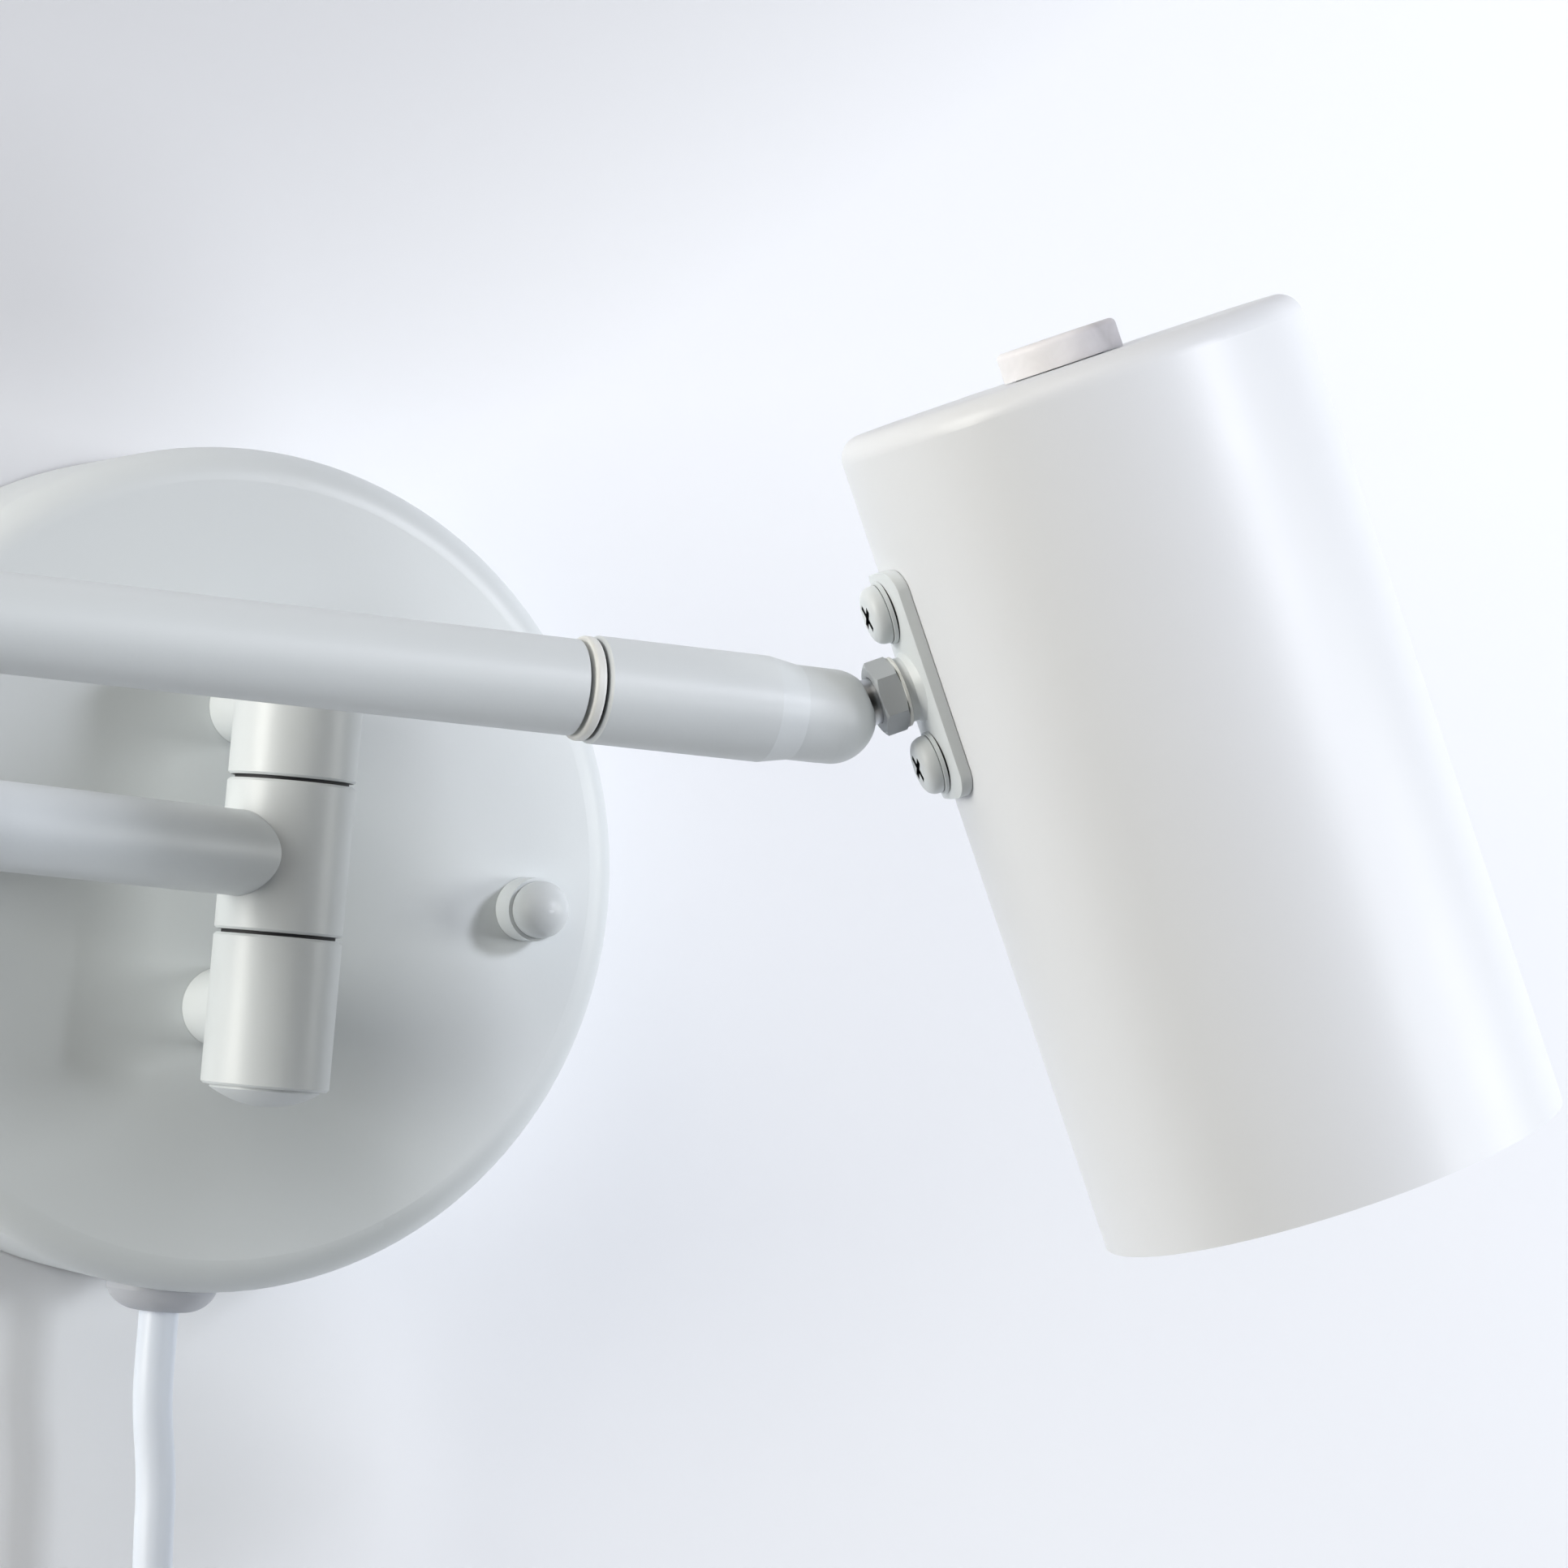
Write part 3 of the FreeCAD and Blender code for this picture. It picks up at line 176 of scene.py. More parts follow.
class WallLampStudio(bpy.types.PropertyGroup):
    """Wall, floor, lights and camera."""
    wall: hex_colour("Wall", "#F8FAFF")
    floor: hex_colour("Floor", "#ECEEF2")
    window: power("Window light. Grazing, from the left", 19.46)
    skylight: power("Skylight. Warm, from the upper left", 3.25)
    key: power("Key light. From the right front, high", 6.24)
    low_key: power("Low key light. From the right front, level", 2.70)
    side: power("Side light. From the far right", 4.46)
    bounce: power("Floor bounce. What the floor throws up", 0.35)
    key_size: length("Key size. Side of the two key lights, which sets how soft their shadows are", 0.18)
    light_size: length("Light size. Side of the window, the skylight and the bounce", 0.7)
    side_size: length("Side light's size", 0.4)
    wall_glow: number("Wall glow. Light that the bright wall gives off", 0.004)
    ambient: number("Ambient. Strength of the even light all round", 0.0)
    room_size: length("Room size. Side of the wall and of the floor", 6.0)
    wall_gap: length("Wall gap. Between the wall and the solids' back", 0.0004)
    floor_drop: length("Floor drop. From the lamp down to the floor", 1.6)
    lens: number("Lens. Focal length", 121.118, unit="CAMERA")
    camera_place: FloatVectorProperty(name="Camera place", description="Where the camera stands", subtype="XYZ",
                                      default=(-0.25993, -0.74971, -0.01501), unit="LENGTH")
    camera_turn: angle("Camera turn. To the right of straight at the wall", math.radians(25.84))
    camera_pitch: angle("Camera pitch. Upwards", math.radians(2.70))
    camera_roll: angle("Camera roll. About the line of sight", math.radians(-4.88))


# ---------------------------------------------------------------- modelling helpers
def nothing_selected():
    if bpy.context.mode != "OBJECT":
        bpy.ops.object.mode_set(mode="OBJECT")
    bpy.ops.object.select_all(action="DESELECT")


def newest(name):
    made = bpy.context.view_layer.objects.active
    made.name = name
    made.data.name = name
    return made


def only(thing):
    nothing_selected()
    thing.select_set(True)
    bpy.context.view_layer.objects.active = thing


def edit(thing):
    only(thing)
    bpy.ops.object.mode_set(mode="EDIT")
    bpy.ops.mesh.select_all(action="DESELECT")


def pick(thing, kind, test):
    """In edit mode, selects only the vertices, edges or faces that pass the test."""
    bpy.ops.mesh.select_mode(type={"verts": "VERT", "edges": "EDGE", "faces": "FACE"}[kind])
    bpy.ops.mesh.select_all(action="DESELECT")
    mesh = bmesh.from_edit_mesh(thing.data)
    for part in getattr(mesh, kind):
        if test(part):
            part.select_set(True)
    mesh.select_flush_mode()
    bmesh.update_edit_mesh(thing.data)


def level(part, height, near=1e-6):
    """True if every corner of an edge or face lies at that height."""
    return all(abs(v.co.z - height) < near for v in part.verts)


def done_editing():
    bpy.ops.object.mode_set(mode="OBJECT")


def apply_modifier(thing, kind, **settings):
    only(thing)
    modifier = thing.modifiers.new(kind.title(), kind)
    for name, value in settings.items():
        setattr(modifier, name, value)
    bpy.ops.object.modifier_apply(modifier=modifier.name)


def freeze(thing):
    """Applies a piece's own place, turn and scale to its mesh."""
    only(thing)
    bpy.ops.object.transform_apply(location=True, rotation=True, scale=True)


def outward(thing):
    """Turns all faces outwards."""
    edit(thing)
    bpy.ops.mesh.select_all(action="SELECT")
    bpy.ops.mesh.normals_make_consistent(inside=False)
    done_editing()


def settle(thing, place, smooth):
    """Puts a piece that was modelled at the origin in its place, inside its own mesh."""
    thing.matrix_world = place @ thing.matrix_world
    freeze(thing)
    bpy.ops.object.shade_smooth_by_angle(angle=math.radians(smooth))


def axes(x, y, z):
    """A turn that lays the three axes along these directions."""
    return Matrix((x, y, z)).transposed().to_4x4()


def dress(thing, body, material=None):
    """Gives a piece its body and its finish; one with no material given keeps those it was made with."""
    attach(thing, body)
    if material is not None:
        thing.data.materials.clear()
        thing.data.materials.append(material)


def bar(name, radius, low, high, sides=48):
    nothing_selected()
    bpy.ops.mesh.primitive_cylinder_add(vertices=sides, radius=radius, depth=high - low,
                                        location=(0, 0, (low + high) / 2))
    thing = newest(name)
    freeze(thing)
    return thing


def thread(name, root, crest, pitch, low, high, steps, flat=0.12, rolled=False):
    """Helical thread about Z, from low to about high: a cut profile with a flat crest, or a rolled, wavy one."""
    nothing_selected()
    bpy.ops.mesh.primitive_plane_add(size=pitch, location=(0, 0, 0))
    thing = newest(name)
    edit(thing)                                  # one edge of the plane is left, as the profile of one turn
    bpy.ops.mesh.select_all(action="SELECT")
    bpy.ops.mesh.delete(type="ONLY_FACE")
    pick(thing, "edges", lambda e: all(v.co.x < 0 for v in e.verts))
    bpy.ops.mesh.delete(type="EDGE")
    pick(thing, "verts", lambda v: v.co.x < 0)
    bpy.ops.mesh.delete(type="VERT")
    pick(thing, "edges", lambda e: True)
    bpy.ops.mesh.subdivide(number_cuts=11 if rolled else 3)
    mesh = bmesh.from_edit_mesh(thing.data)
    for v in mesh.verts:
        share = (v.co.y + pitch / 2) / pitch
        rise = min(1.0, max(0.0, (0.5 - abs(share - 0.5)) / 0.5 * (1 + flat)))
        if rolled:
            rise = 0.5 - 0.5 * math.cos(2 * math.pi * share)
        v.co = Vector((root + (crest - root) * rise, 0, low + share * pitch))
    bmesh.update_edit_mesh(thing.data)
    done_editing()
    turns = max(1, int((high - low) / pitch) - 1)
    apply_modifier(thing, "SCREW", angle=2 * math.pi, screw_offset=pitch, iterations=turns, steps=steps,
                   render_steps=steps, axis="Z", use_merge_vertices=True, merge_threshold=1e-6)
    return thing


def trim(thing, low, high):
    """Cuts a piece off square at two heights."""
    for height, away in ((low, -1), (high, 1)):
        edit(thing)
        bpy.ops.mesh.select_all(action="SELECT")
        bpy.ops.mesh.bisect(plane_co=(0, 0, height), plane_no=(0, 0, away), clear_outer=True)
        done_editing()


def joined(name, *things):
    only(things[0])
    for thing in things[1:]:
        thing.select_set(True)
    bpy.ops.object.join()
    return newest(name)


def cut_away(thing, cutter, keep="outside"):
    """Cuts a piece with another and keeps what is outside or inside it; the cut takes the cutter's finish."""
    apply_modifier(thing, "BOOLEAN", operation="DIFFERENCE" if keep == "outside" else "INTERSECT",
                   object=cutter, solver="EXACT",
                   material_mode="TRANSFER" if cutter.data.materials else "INDEX")
    bpy.data.objects.remove(cutter, do_unlink=True)


def threaded_rod(name, radius, pitch, low, high, bore=0.0):
    """Threaded rod about Z with eased ends, or a hollow one."""
    root = radius - 0.61 * pitch                 # depth of a metric thread
    core = bar(name, root, low, high)
    edit(core)
    pick(core, "edges", lambda e: level(e, low) or level(e, high))
    bpy.ops.mesh.bevel(offset=pitch * 0.4, segments=2, profile=0.5)
    done_editing()
    if bore:
        cut_away(core, bar("bore", bore, low - pitch, high + pitch))
    ridge = thread(name + "_ridge", root - pitch * 0.02, radius, pitch, low + pitch * 0.4, high + pitch * 0.6, 36)
    rod = joined(name, core, ridge)
    outward(rod)
    return rod


# ---------------------------------------------------------------- material helpers
def linear(text):
    """sRGB hex to linear colour with alpha."""
    def channel(value):
        value /= 255
        return value / 12.92 if value <= 0.04045 else ((value + 0.055) / 1.055) ** 2.4
    return tuple(channel(int(text[k:k + 2], 16)) for k in (1, 3, 5)) + (1.0,)


def shade_of(text, factor):
    return tuple(min(1.0, c * factor) for c in linear(text)[:3]) + (1.0,)


def add(tree, kind, inputs=None, **settings):
    """Adds one node with its settings; an input is a value or another node's output."""
    node = tree.nodes.new(kind)
    for name, value in settings.items():
        setattr(node, name, value)
    for name, value in (inputs or {}).items():
        if isinstance(value, bpy.types.NodeSocket):
            tree.links.new(value, node.inputs[name])
        else:
            node.inputs[name].default_value = value
    return node


def start_material(name):
    material = bpy.data.materials.new(name)
    material.use_nodes = True
    tree = material.node_tree
    tree.nodes.clear()
    place = add(tree, "ShaderNodeTexCoord").outputs["Object"]
    return material, tree, place


def surface(material, tree, inputs):
    """Ends a material with one shader that has these inputs."""
    shader = add(tree, "ShaderNodeBsdfPrincipled", inputs)
    add(tree, "ShaderNodeOutputMaterial", {"Surface": shader.outputs[0]})
    return material


def clouded(tree, place, spacing, low, high, detail=3.0, **pattern):
    """A number or a colour that drifts from low to high in clouds of that spacing in metres."""
    clouds = add(tree, "ShaderNodeTexNoise", {"Vector": place, "Scale": 1 / spacing, "Detail": detail, **pattern})
    kind = "RGBA" if isinstance(high, tuple) else "FLOAT"
    return add(tree, "ShaderNodeMix", {"Factor": clouds.outputs["Fac"], "A": low, "B": high},
               data_type=kind).outputs["Result"]


def tinted(tree, place, tint, spread, spacing, detail=3.0):
    """A colour that drifts a little darker and lighter than the tint."""
    return clouded(tree, place, spacing, shade_of(tint, 1 - spread), shade_of(tint, 1 + spread), detail)


def rippled(tree, place, spacing, depth, detail=2.0, under=None):
    """Low waves of that spacing and depth in metres, drawn a little deeper than life to show."""
    waves = add(tree, "ShaderNodeTexNoise", {"Vector": place, "Scale": 1 / spacing, "Detail": detail})
    inputs = {"Height": waves.outputs["Fac"], "Strength": 1.0, "Distance": depth}
    if under is not None:
        inputs["Normal"] = under
    return add(tree, "ShaderNodeBump", inputs).outputs["Normal"]


# ---------------------------------------------------------------- materials
def painted_seam_shade(tree, paint, reach):
    """Darkens paint to near black inside gaps narrower than the reach: painted shade where light does not get in."""
    open_air = add(tree, "ShaderNodeAmbientOcclusion", {"Distance": reach}, samples=8).outputs["AO"]
    seam, face = 0.22, 0.55                      # shares of open air at which it is all seam and all face
    share = add(tree, "ShaderNodeMapRange", {"Value": open_air, "From Min": seam, "From Max": face})
    # the near black mixed in is painted shade, not a colour of the paint
    return add(tree, "ShaderNodeMix", {"Factor": share.outputs["Result"], "A": (0.05, 0.05, 0.05, 1.0), "B": paint},
               data_type="RGBA").outputs["Result"]


def satin_powder_coat(name, paint, group, with_seam_shade=True):
    """Polyester powder coat on steel: an even white skin, satin, with low flow ripples and a fine grain, and painted
    shade in its narrow seams unless that is turned off.
    """
    material, tree, place = start_material(name)
    colour = tinted(tree, place, paint, 0.012, spacing=0.028)
    # painted shade: the colour goes dark in narrow gaps
    if with_seam_shade:
        colour = painted_seam_shade(tree, colour, group.seam_shade_reach)
    normal = rippled(tree, place, group.orange_peel, depth=0.000010, detail=1.0)
    normal = rippled(tree, place, group.paint_grain, depth=0.000004, under=normal)
    rough = clouded(tree, place, 0.011, group.paint_roughness - 0.04, group.paint_roughness + 0.05)
    return surface(material, tree, {"Base Color": colour, "Roughness": rough, "IOR": 1.5, "Normal": normal})


def bright_zinc_plate(name, tint):
    """Electroplated zinc on steel: pale, slightly cloudy metal with a fine grain."""
    material, tree, place = start_material(name)
    return surface(material, tree, {
        "Base Color": tinted(tree, place, tint, 0.06, spacing=0.004), "Metallic": 1.0,
        "Roughness": clouded(tree, place, 0.0012, 0.22, 0.42),
        "Normal": rippled(tree, place, 0.0003, depth=0.000006)})


def drawn_brass(name, tint):
    """Stamped and turned brass: warm metal, a little duller in patches."""
    material, tree, place = start_material(name)
    return surface(material, tree, {
        "Base Color": tinted(tree, place, tint, 0.10, spacing=0.0035), "Metallic": 1.0,
        "Roughness": clouded(tree, place, 0.0015, 0.20, 0.40),
        "Normal": rippled(tree, place, 0.0004, depth=0.000006)})


def moulded_plastic(name, tint, roughness, scatter, grain=0.0005):
    """Moulded or turned plastic: a fine mould grain, and light that sinks a little way in."""
    material, tree, place = start_material(name)
    return surface(material, tree, {
        "Base Color": tinted(tree, place, tint, 0.015, spacing=0.006, detail=2.0), "IOR": 1.53,
        "Roughness": clouded(tree, place, 0.003, roughness - 0.05, roughness + 0.06),
        "Normal": rippled(tree, place, grain, depth=0.000006),
        "Subsurface Weight": scatter, "Subsurface Radius": (1.0, 0.95, 0.9), "Subsurface Scale": 0.002})


def milky_knob(name, tint):
    """Milky acrylic: light sinks into it, with flow clouds, and one half painted grey as painted shade."""
    material, tree, place = start_material(name)
    flow = {"spacing": 0.0042, "Distortion": 0.8}
    whole = clouded(tree, place, low=shade_of(tint, 0.84), high=shade_of(tint, 1.10), **flow)
    shaded_tone = clouded(tree, place, low=shade_of(tint, 0.60), high=shade_of(tint, 0.88), **flow)
    # painted shade: the colour turns grey towards this side of the knob's face
    shaded_side = (HEAD_X * 0.924 - HEAD_Y * 0.208).normalized()      # along the knob's face, towards its greyer half
    along = add(tree, "ShaderNodeVectorMath", {0: place, 1: shaded_side}, operation="DOT_PRODUCT").outputs["Value"]
    middle = SHADE_TOP.dot(shaded_side)
    share = add(tree, "ShaderNodeMapRange", {"Value": along, "From Min": middle + 0.0005,
                                             "From Max": middle + 0.0045}).outputs["Result"]
    colour = add(tree, "ShaderNodeMix", {"Factor": share, "A": whole, "B": shaded_tone}, data_type="RGBA").outputs["Result"]
    return surface(material, tree, {
        "Base Color": colour, "Roughness": clouded(tree, place, low=0.42, high=0.58, **flow), "IOR": 1.49,
        "Normal": rippled(tree, place, 0.0011, depth=0.000008),
        "Subsurface Weight": 0.45, "Subsurface Radius": (1.0, 0.97, 1.0), "Subsurface Scale": 0.003})


def moulded_rubber(name, tint):
    """Black rubber: matt, with a dusty grain."""
    material, tree, place = start_material(name)
    return surface(material, tree, {
        "Base Color": tinted(tree, place, tint, 0.25, spacing=0.0015), "Roughness": 0.78, "IOR": 1.52,
        "Normal": rippled(tree, place, 0.0003, depth=0.00002)})


def woven_strap(name, tint, threads=0.0007):
    """Nylon loop tape: crossing threads, about half a millimetre apart and drawn a little coarser to show."""
    material, tree, place = start_material(name)
    weave = add(tree, "ShaderNodeTexChecker", {"Vector": place, "Scale": 1 / threads,
                                               "Color1": shade_of(tint, 1.0), "Color2": shade_of(tint, 0.86)})
    normal = add(tree, "ShaderNodeBump", {"Height": weave.outputs["Fac"], "Strength": 1.0,
                                          "Distance": 0.00008}).outputs["Normal"]
    return surface(material, tree, {
        "Base Color": weave.outputs["Color"], "Roughness": 0.85, "Sheen Weight": 0.3,
        "Normal": rippled(tree, place, 0.0004, depth=0.00005, detail=3.0, under=normal)})


def painted_wall(name, tint, glow=0.0, painted_shade_corner=False):
    """Matt paint on smooth plaster, darkened by painted shade towards its upper left where asked, that lets the view
    through from behind.
    """
    material, tree, place = start_material(name)
    colour = clouded(tree, place, 0.11, shade_of(tint, 0.985), shade_of(tint, 1.01), detail=4.0)
    if painted_shade_corner:
        towards_light = (0.63, -0.77, 0.0)            # right and down in the wall's own frame
        shaded_end, bright = -0.13, 0.11               # metres along it
        along = add(tree, "ShaderNodeVectorMath", {0: place, 1: towards_light}, operation="DOT_PRODUCT")
        share = add(tree, "ShaderNodeMapRange", {"Value": along.outputs["Value"], "From Min": shaded_end,
                                                 "From Max": bright}, interpolation_type="SMOOTHSTEP")
        share = add(tree, "ShaderNodeMath", {0: share.outputs["Result"], 1: 2.4}, operation="MULTIPLY",
                    use_clamp=True)              # even from 2/5 of the way on
        # painted shade: up to a quarter darker towards the upper left
        colour = add(tree, "ShaderNodeMix", {"Factor": share.outputs[0], "A": shade_of(tint, 0.75), "B": colour},
                     data_type="RGBA").outputs["Result"]
    front = add(tree, "ShaderNodeBsdfPrincipled", {
        "Base Color": colour, "Roughness": 0.92, "IOR": 1.45,
        "Normal": rippled(tree, place, 0.004, depth=0.00004, detail=3.0),
        "Emission Color": linear(tint), "Emission Strength": glow})
    behind = add(tree, "ShaderNodeBsdfTransparent")
    side = add(tree, "ShaderNodeNewGeometry").outputs["Backfacing"]
    shader = add(tree, "ShaderNodeMixShader", {0: side, 1: front.outputs[0], 2: behind.outputs[0]})
    add(tree, "ShaderNodeOutputMaterial", {"Surface": shader.outputs[0]})
    return material


def finishes():
    """The lamp's materials by name, made once."""
    group = bpy.context.scene.wall_lamp_finishes
    recipes = {
        "satin_powder_coat": (satin_powder_coat, group.paint, group),
        "satin_powder_coat_shade": (satin_powder_coat, group.shade_paint, group, False),
        "worn_powder_coat_collar": (satin_powder_coat, group.collar, group),
        "bright_zinc_plate": (bright_zinc_plate, group.zinc),
        "bare_screw_steel": (bright_zinc_plate, group.recess_steel_and_shade),
        "drawn_brass": (drawn_brass, group.brass),
        # plastics: tint, roughness, how much light sinks in, and the grain's spacing if it is coarser
        "turned_nylon": (moulded_plastic, group.nylon, 0.42, 0.25),
        "dark_fibre_washer": (moulded_plastic, group.washer, 0.7, 0.02),
        "moulded_white_pbt": (moulded_plastic, group.moulding, 0.40, 0.15),
        "moulded_bushing_nylon": (moulded_plastic, group.bushing, 0.50, 0.10),
        "soft_white_pvc": (moulded_plastic, group.cord, 0.40, 0.08, 0.0015),
        "milky_acrylic_knob": (milky_knob, group.knob),
        "moulded_rubber": (moulded_rubber, group.rubber),
        "woven_nylon_strap": (woven_strap, group.nylon),
    }
    return {name: bpy.data.materials.get(name) or make(name, *values) for name, (make, *values) in recipes.items()}


FINISH_OF_SLOT = {
    "white_powder_coat": "satin_powder_coat",
    "shade_powder_coat": "satin_powder_coat_shade",
    "zinc_steel": "bright_zinc_plate",
    "brass": "drawn_brass",
    "white_nylon": "turned_nylon",
    "white_moulding": "moulded_white_pbt",
    "knob_plastic": "milky_acrylic_knob",
    "cord_pvc": "soft_white_pvc",
    "rubber": "moulded_rubber",
    "tie_strap": "woven_nylon_strap",
}

# pieces painted greyer or darker than the others of their slot, as painted shade where they sit in shadow
FINISH_OF_NODE = {
    # the cord bushing is greyed as painted shade under the canopy
    "cord_bushing": "moulded_bushing_nylon",
    # the lock collar's coat is greyed as painted shade
    "stud_collar": "worn_powder_coat_collar",
    # the knuckle washers are near black as painted shade in the knuckle seams
    "wall_knuckle_washers": "dark_fibre_washer",
    "elbow_washer": "dark_fibre_washer",
}


# ---------------------------------------------------------------- operators
class LampOperator:
    bl_options = {"REGISTER", "UNDO"}


class WALLLAMP_OT_camera(LampOperator, bpy.types.Operator):
    """Places the camera where the lamp is looked at from, slightly left of it and level"""
    bl_idname = "walllamp.camera"
    bl_label = "Camera"

    def execute(self, context):
        group = context.scene.wall_lamp_studio
        turn, pitch, roll = group.camera_turn, group.camera_pitch, group.camera_roll
        ahead = Vector((math.sin(turn) * math.cos(pitch), math.cos(turn) * math.cos(pitch), math.sin(pitch)))
        right = Vector((math.cos(turn), -math.sin(turn), 0))
        up = right.cross(ahead)
        right, up = (right * math.cos(roll) - up * math.sin(roll), right * math.sin(roll) + up * math.cos(roll))
        data = bpy.data.cameras.new("camera")
        data.lens = group.lens
        data.sensor_width = 36.0
        data.sensor_fit = "HORIZONTAL"
        data.clip_start, data.clip_end = 0.01, 20.0
        camera = bpy.data.objects.new("camera", data)
        context.scene.collection.objects.link(camera)
        camera.matrix_world = Matrix.Translation(Vector(group.camera_place)) @ axes(right, up, -ahead)
        context.scene.camera = camera
        return {"FINISHED"}


class WALLLAMP_OT_cord(LampOperator, bpy.types.Operator):
    """Runs the power cord from the bushing down the wall into its coil and out to the plug"""
    bl_idname = "walllamp.cord"
    bl_label = "Power cord"

    # the hanging stretch, the same points as in the solid model
    route = [(0, -0.0203, -0.06275), (0, -0.0203, -0.067), (0.0001, -0.0204, -0.0765), (0.002, -0.0202, -0.087),
             (0.0023, -0.0204, -0.098), (0.0034, -0.0203, -0.1095), (0.0036, -0.0202, -0.124),
             (0.0015, -0.0204, -0.142), (-0.005, -0.0203, -0.162), (-0.0155, -0.0204, -0.184),
             (-0.029, -0.0205, -0.207), (-0.0406, -0.0202, -0.229), (-0.0446, -0.0204, -0.249),
             (-0.045, -0.0203, -0.268)]

    def coil_point(self, group, u, wide=1.0):
        back = group.layer_turns - abs(group.layer_turns - u)
        radius = (group.coil_radius - group.coil_pitch * back) * wide
        climb = min(max((u - group.layer_turns + 0.25) / 0.5, 0.0), 1.0)
        rise = group.coil_pitch * (1 - math.cos(math.pi * climb)) / 2
        start = Vector(self.route[-1]) + Vector((group.coil_radius, 0, -2 * group.radius))
        angle = math.pi + 2 * math.pi * u
        return start + Vector((radius * math.cos(angle), rise, radius * math.sin(angle)))

    def execute(self, context):
        group = context.scene.wall_lamp_cord
        steps = group.turn_points
        wide = 1 / math.cos(math.pi / steps)         # the spline runs inside its control points
        points = [Vector(p) for p in self.route]
        points += [self.coil_point(group, k / steps, wide) for k in range(1, int(group.coil_turns * steps))]
        last = self.coil_point(group, group.coil_turns)
        points += [last, last + Vector((0, 0, -group.tail / 2)), last + Vector((0, 0, -group.tail))]
        data = bpy.data.curves.new("power_cord_run", "CURVE")
        data.dimensions = "3D"
        spline = data.splines.new("NURBS")
        spline.points.add(len(points) - 1)
        for point, place in zip(spline.points, points):
            point.co = (*place, 1.0)
            point.radius = group.radius              # the bevel's depth of 1 is multiplied by it
        spline.order_u = 3
        spline.use_endpoint_u = True
        data.resolution_u = 6
        data.bevel_depth = 1.0
        data.bevel_resolution = 7
        data.use_fill_caps = True
        cord = bpy.data.objects.new("power_cord_run", data)
        context.scene.collection.objects.link(cord)
        dress(cord, "wall_base", finishes()["soft_white_pvc"])
        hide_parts("power_cord", "cord_coil")
        return {"FINISHED"}


class WALLLAMP_OT_side_plate_screws(LampOperator, bpy.types.Operator):
    """Makes the two pan-head screws of the side plate, with cross recesses and threads"""
    bl_idname = "walllamp.side_plate_screws"
    bl_label = "Side plate screws"

    def one_screw(self, group):
        made = finishes()
        head = bar("pan_screw_head", group.head_radius, 0, group.head_height, 64)
        head.data.materials.append(made["satin_powder_coat"])
        edit(head)                               # a domed top, and a rim eased at the seat
        pick(head, "edges", lambda e: level(e, group.head_height))
        bpy.ops.mesh.bevel(offset=group.head_radius * 0.50, segments=10, profile=0.60)
        pick(head, "edges", lambda e: level(e, 0))
        bpy.ops.mesh.bevel(offset=group.head_radius * 0.05, segments=2, profile=0.5)
        done_editing()
        for quarter in (0, 1):
            nothing_selected()
            bpy.ops.mesh.primitive_cube_add(size=1, location=(0, 0, group.head_height))
            arm = newest("recess_arm")
            # the recess walls take this dark steel, painted shade in the cross
            arm.data.materials.append(made["bare_screw_steel"])
            arm.scale = (group.recess_reach, group.recess_width, 2 * group.recess_depth)
            arm.rotation_euler.z = group.turned + quarter * math.pi / 2
            freeze(arm)
            edit(arm)
            pick(arm, "faces", lambda f: level(f, group.head_height - group.recess_depth, 1e-5))
            bpy.ops.transform.resize(value=(0.6, 0.6, 1))
            done_editing()
            cut_away(head, arm)
        shank = bar("pan_screw_core", group.shank_radius * 0.84, group.seat - group.tip, 0.0002, 32)
        ridge = thread("pan_screw_thread", group.shank_radius * 0.83, group.shank_radius, group.thread_pitch,
                       group.seat - group.tip, 0.0002, 24)
        screw = joined("pan_screw", head, shank, ridge)
        outward(screw)
        return screw

    def execute(self, context):
        group = context.scene.wall_lamp_screws
        first = self.one_screw(group)
        for side, name in ((1, "side_plate_screw_upper"), (-1, "side_plate_screw_lower")):
            if side == 1:
                screw = first.copy()
                screw.data = first.data.copy()
                context.scene.collection.objects.link(screw)
            else:
                screw = first
            screw.name = screw.data.name = name
            start = BALL + HEAD_X * group.seat + HEAD_Z * side * group.spacing / 2
            turned = axes(HEAD_Y, HEAD_Z, HEAD_X) @ Matrix.Rotation(math.pi, 4, "X")
            settle(screw, Matrix.Translation(start) @ turned, 30)
            dress(screw, "shade_head")
            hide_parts("side_plate_screws")
        return {"FINISHED"}


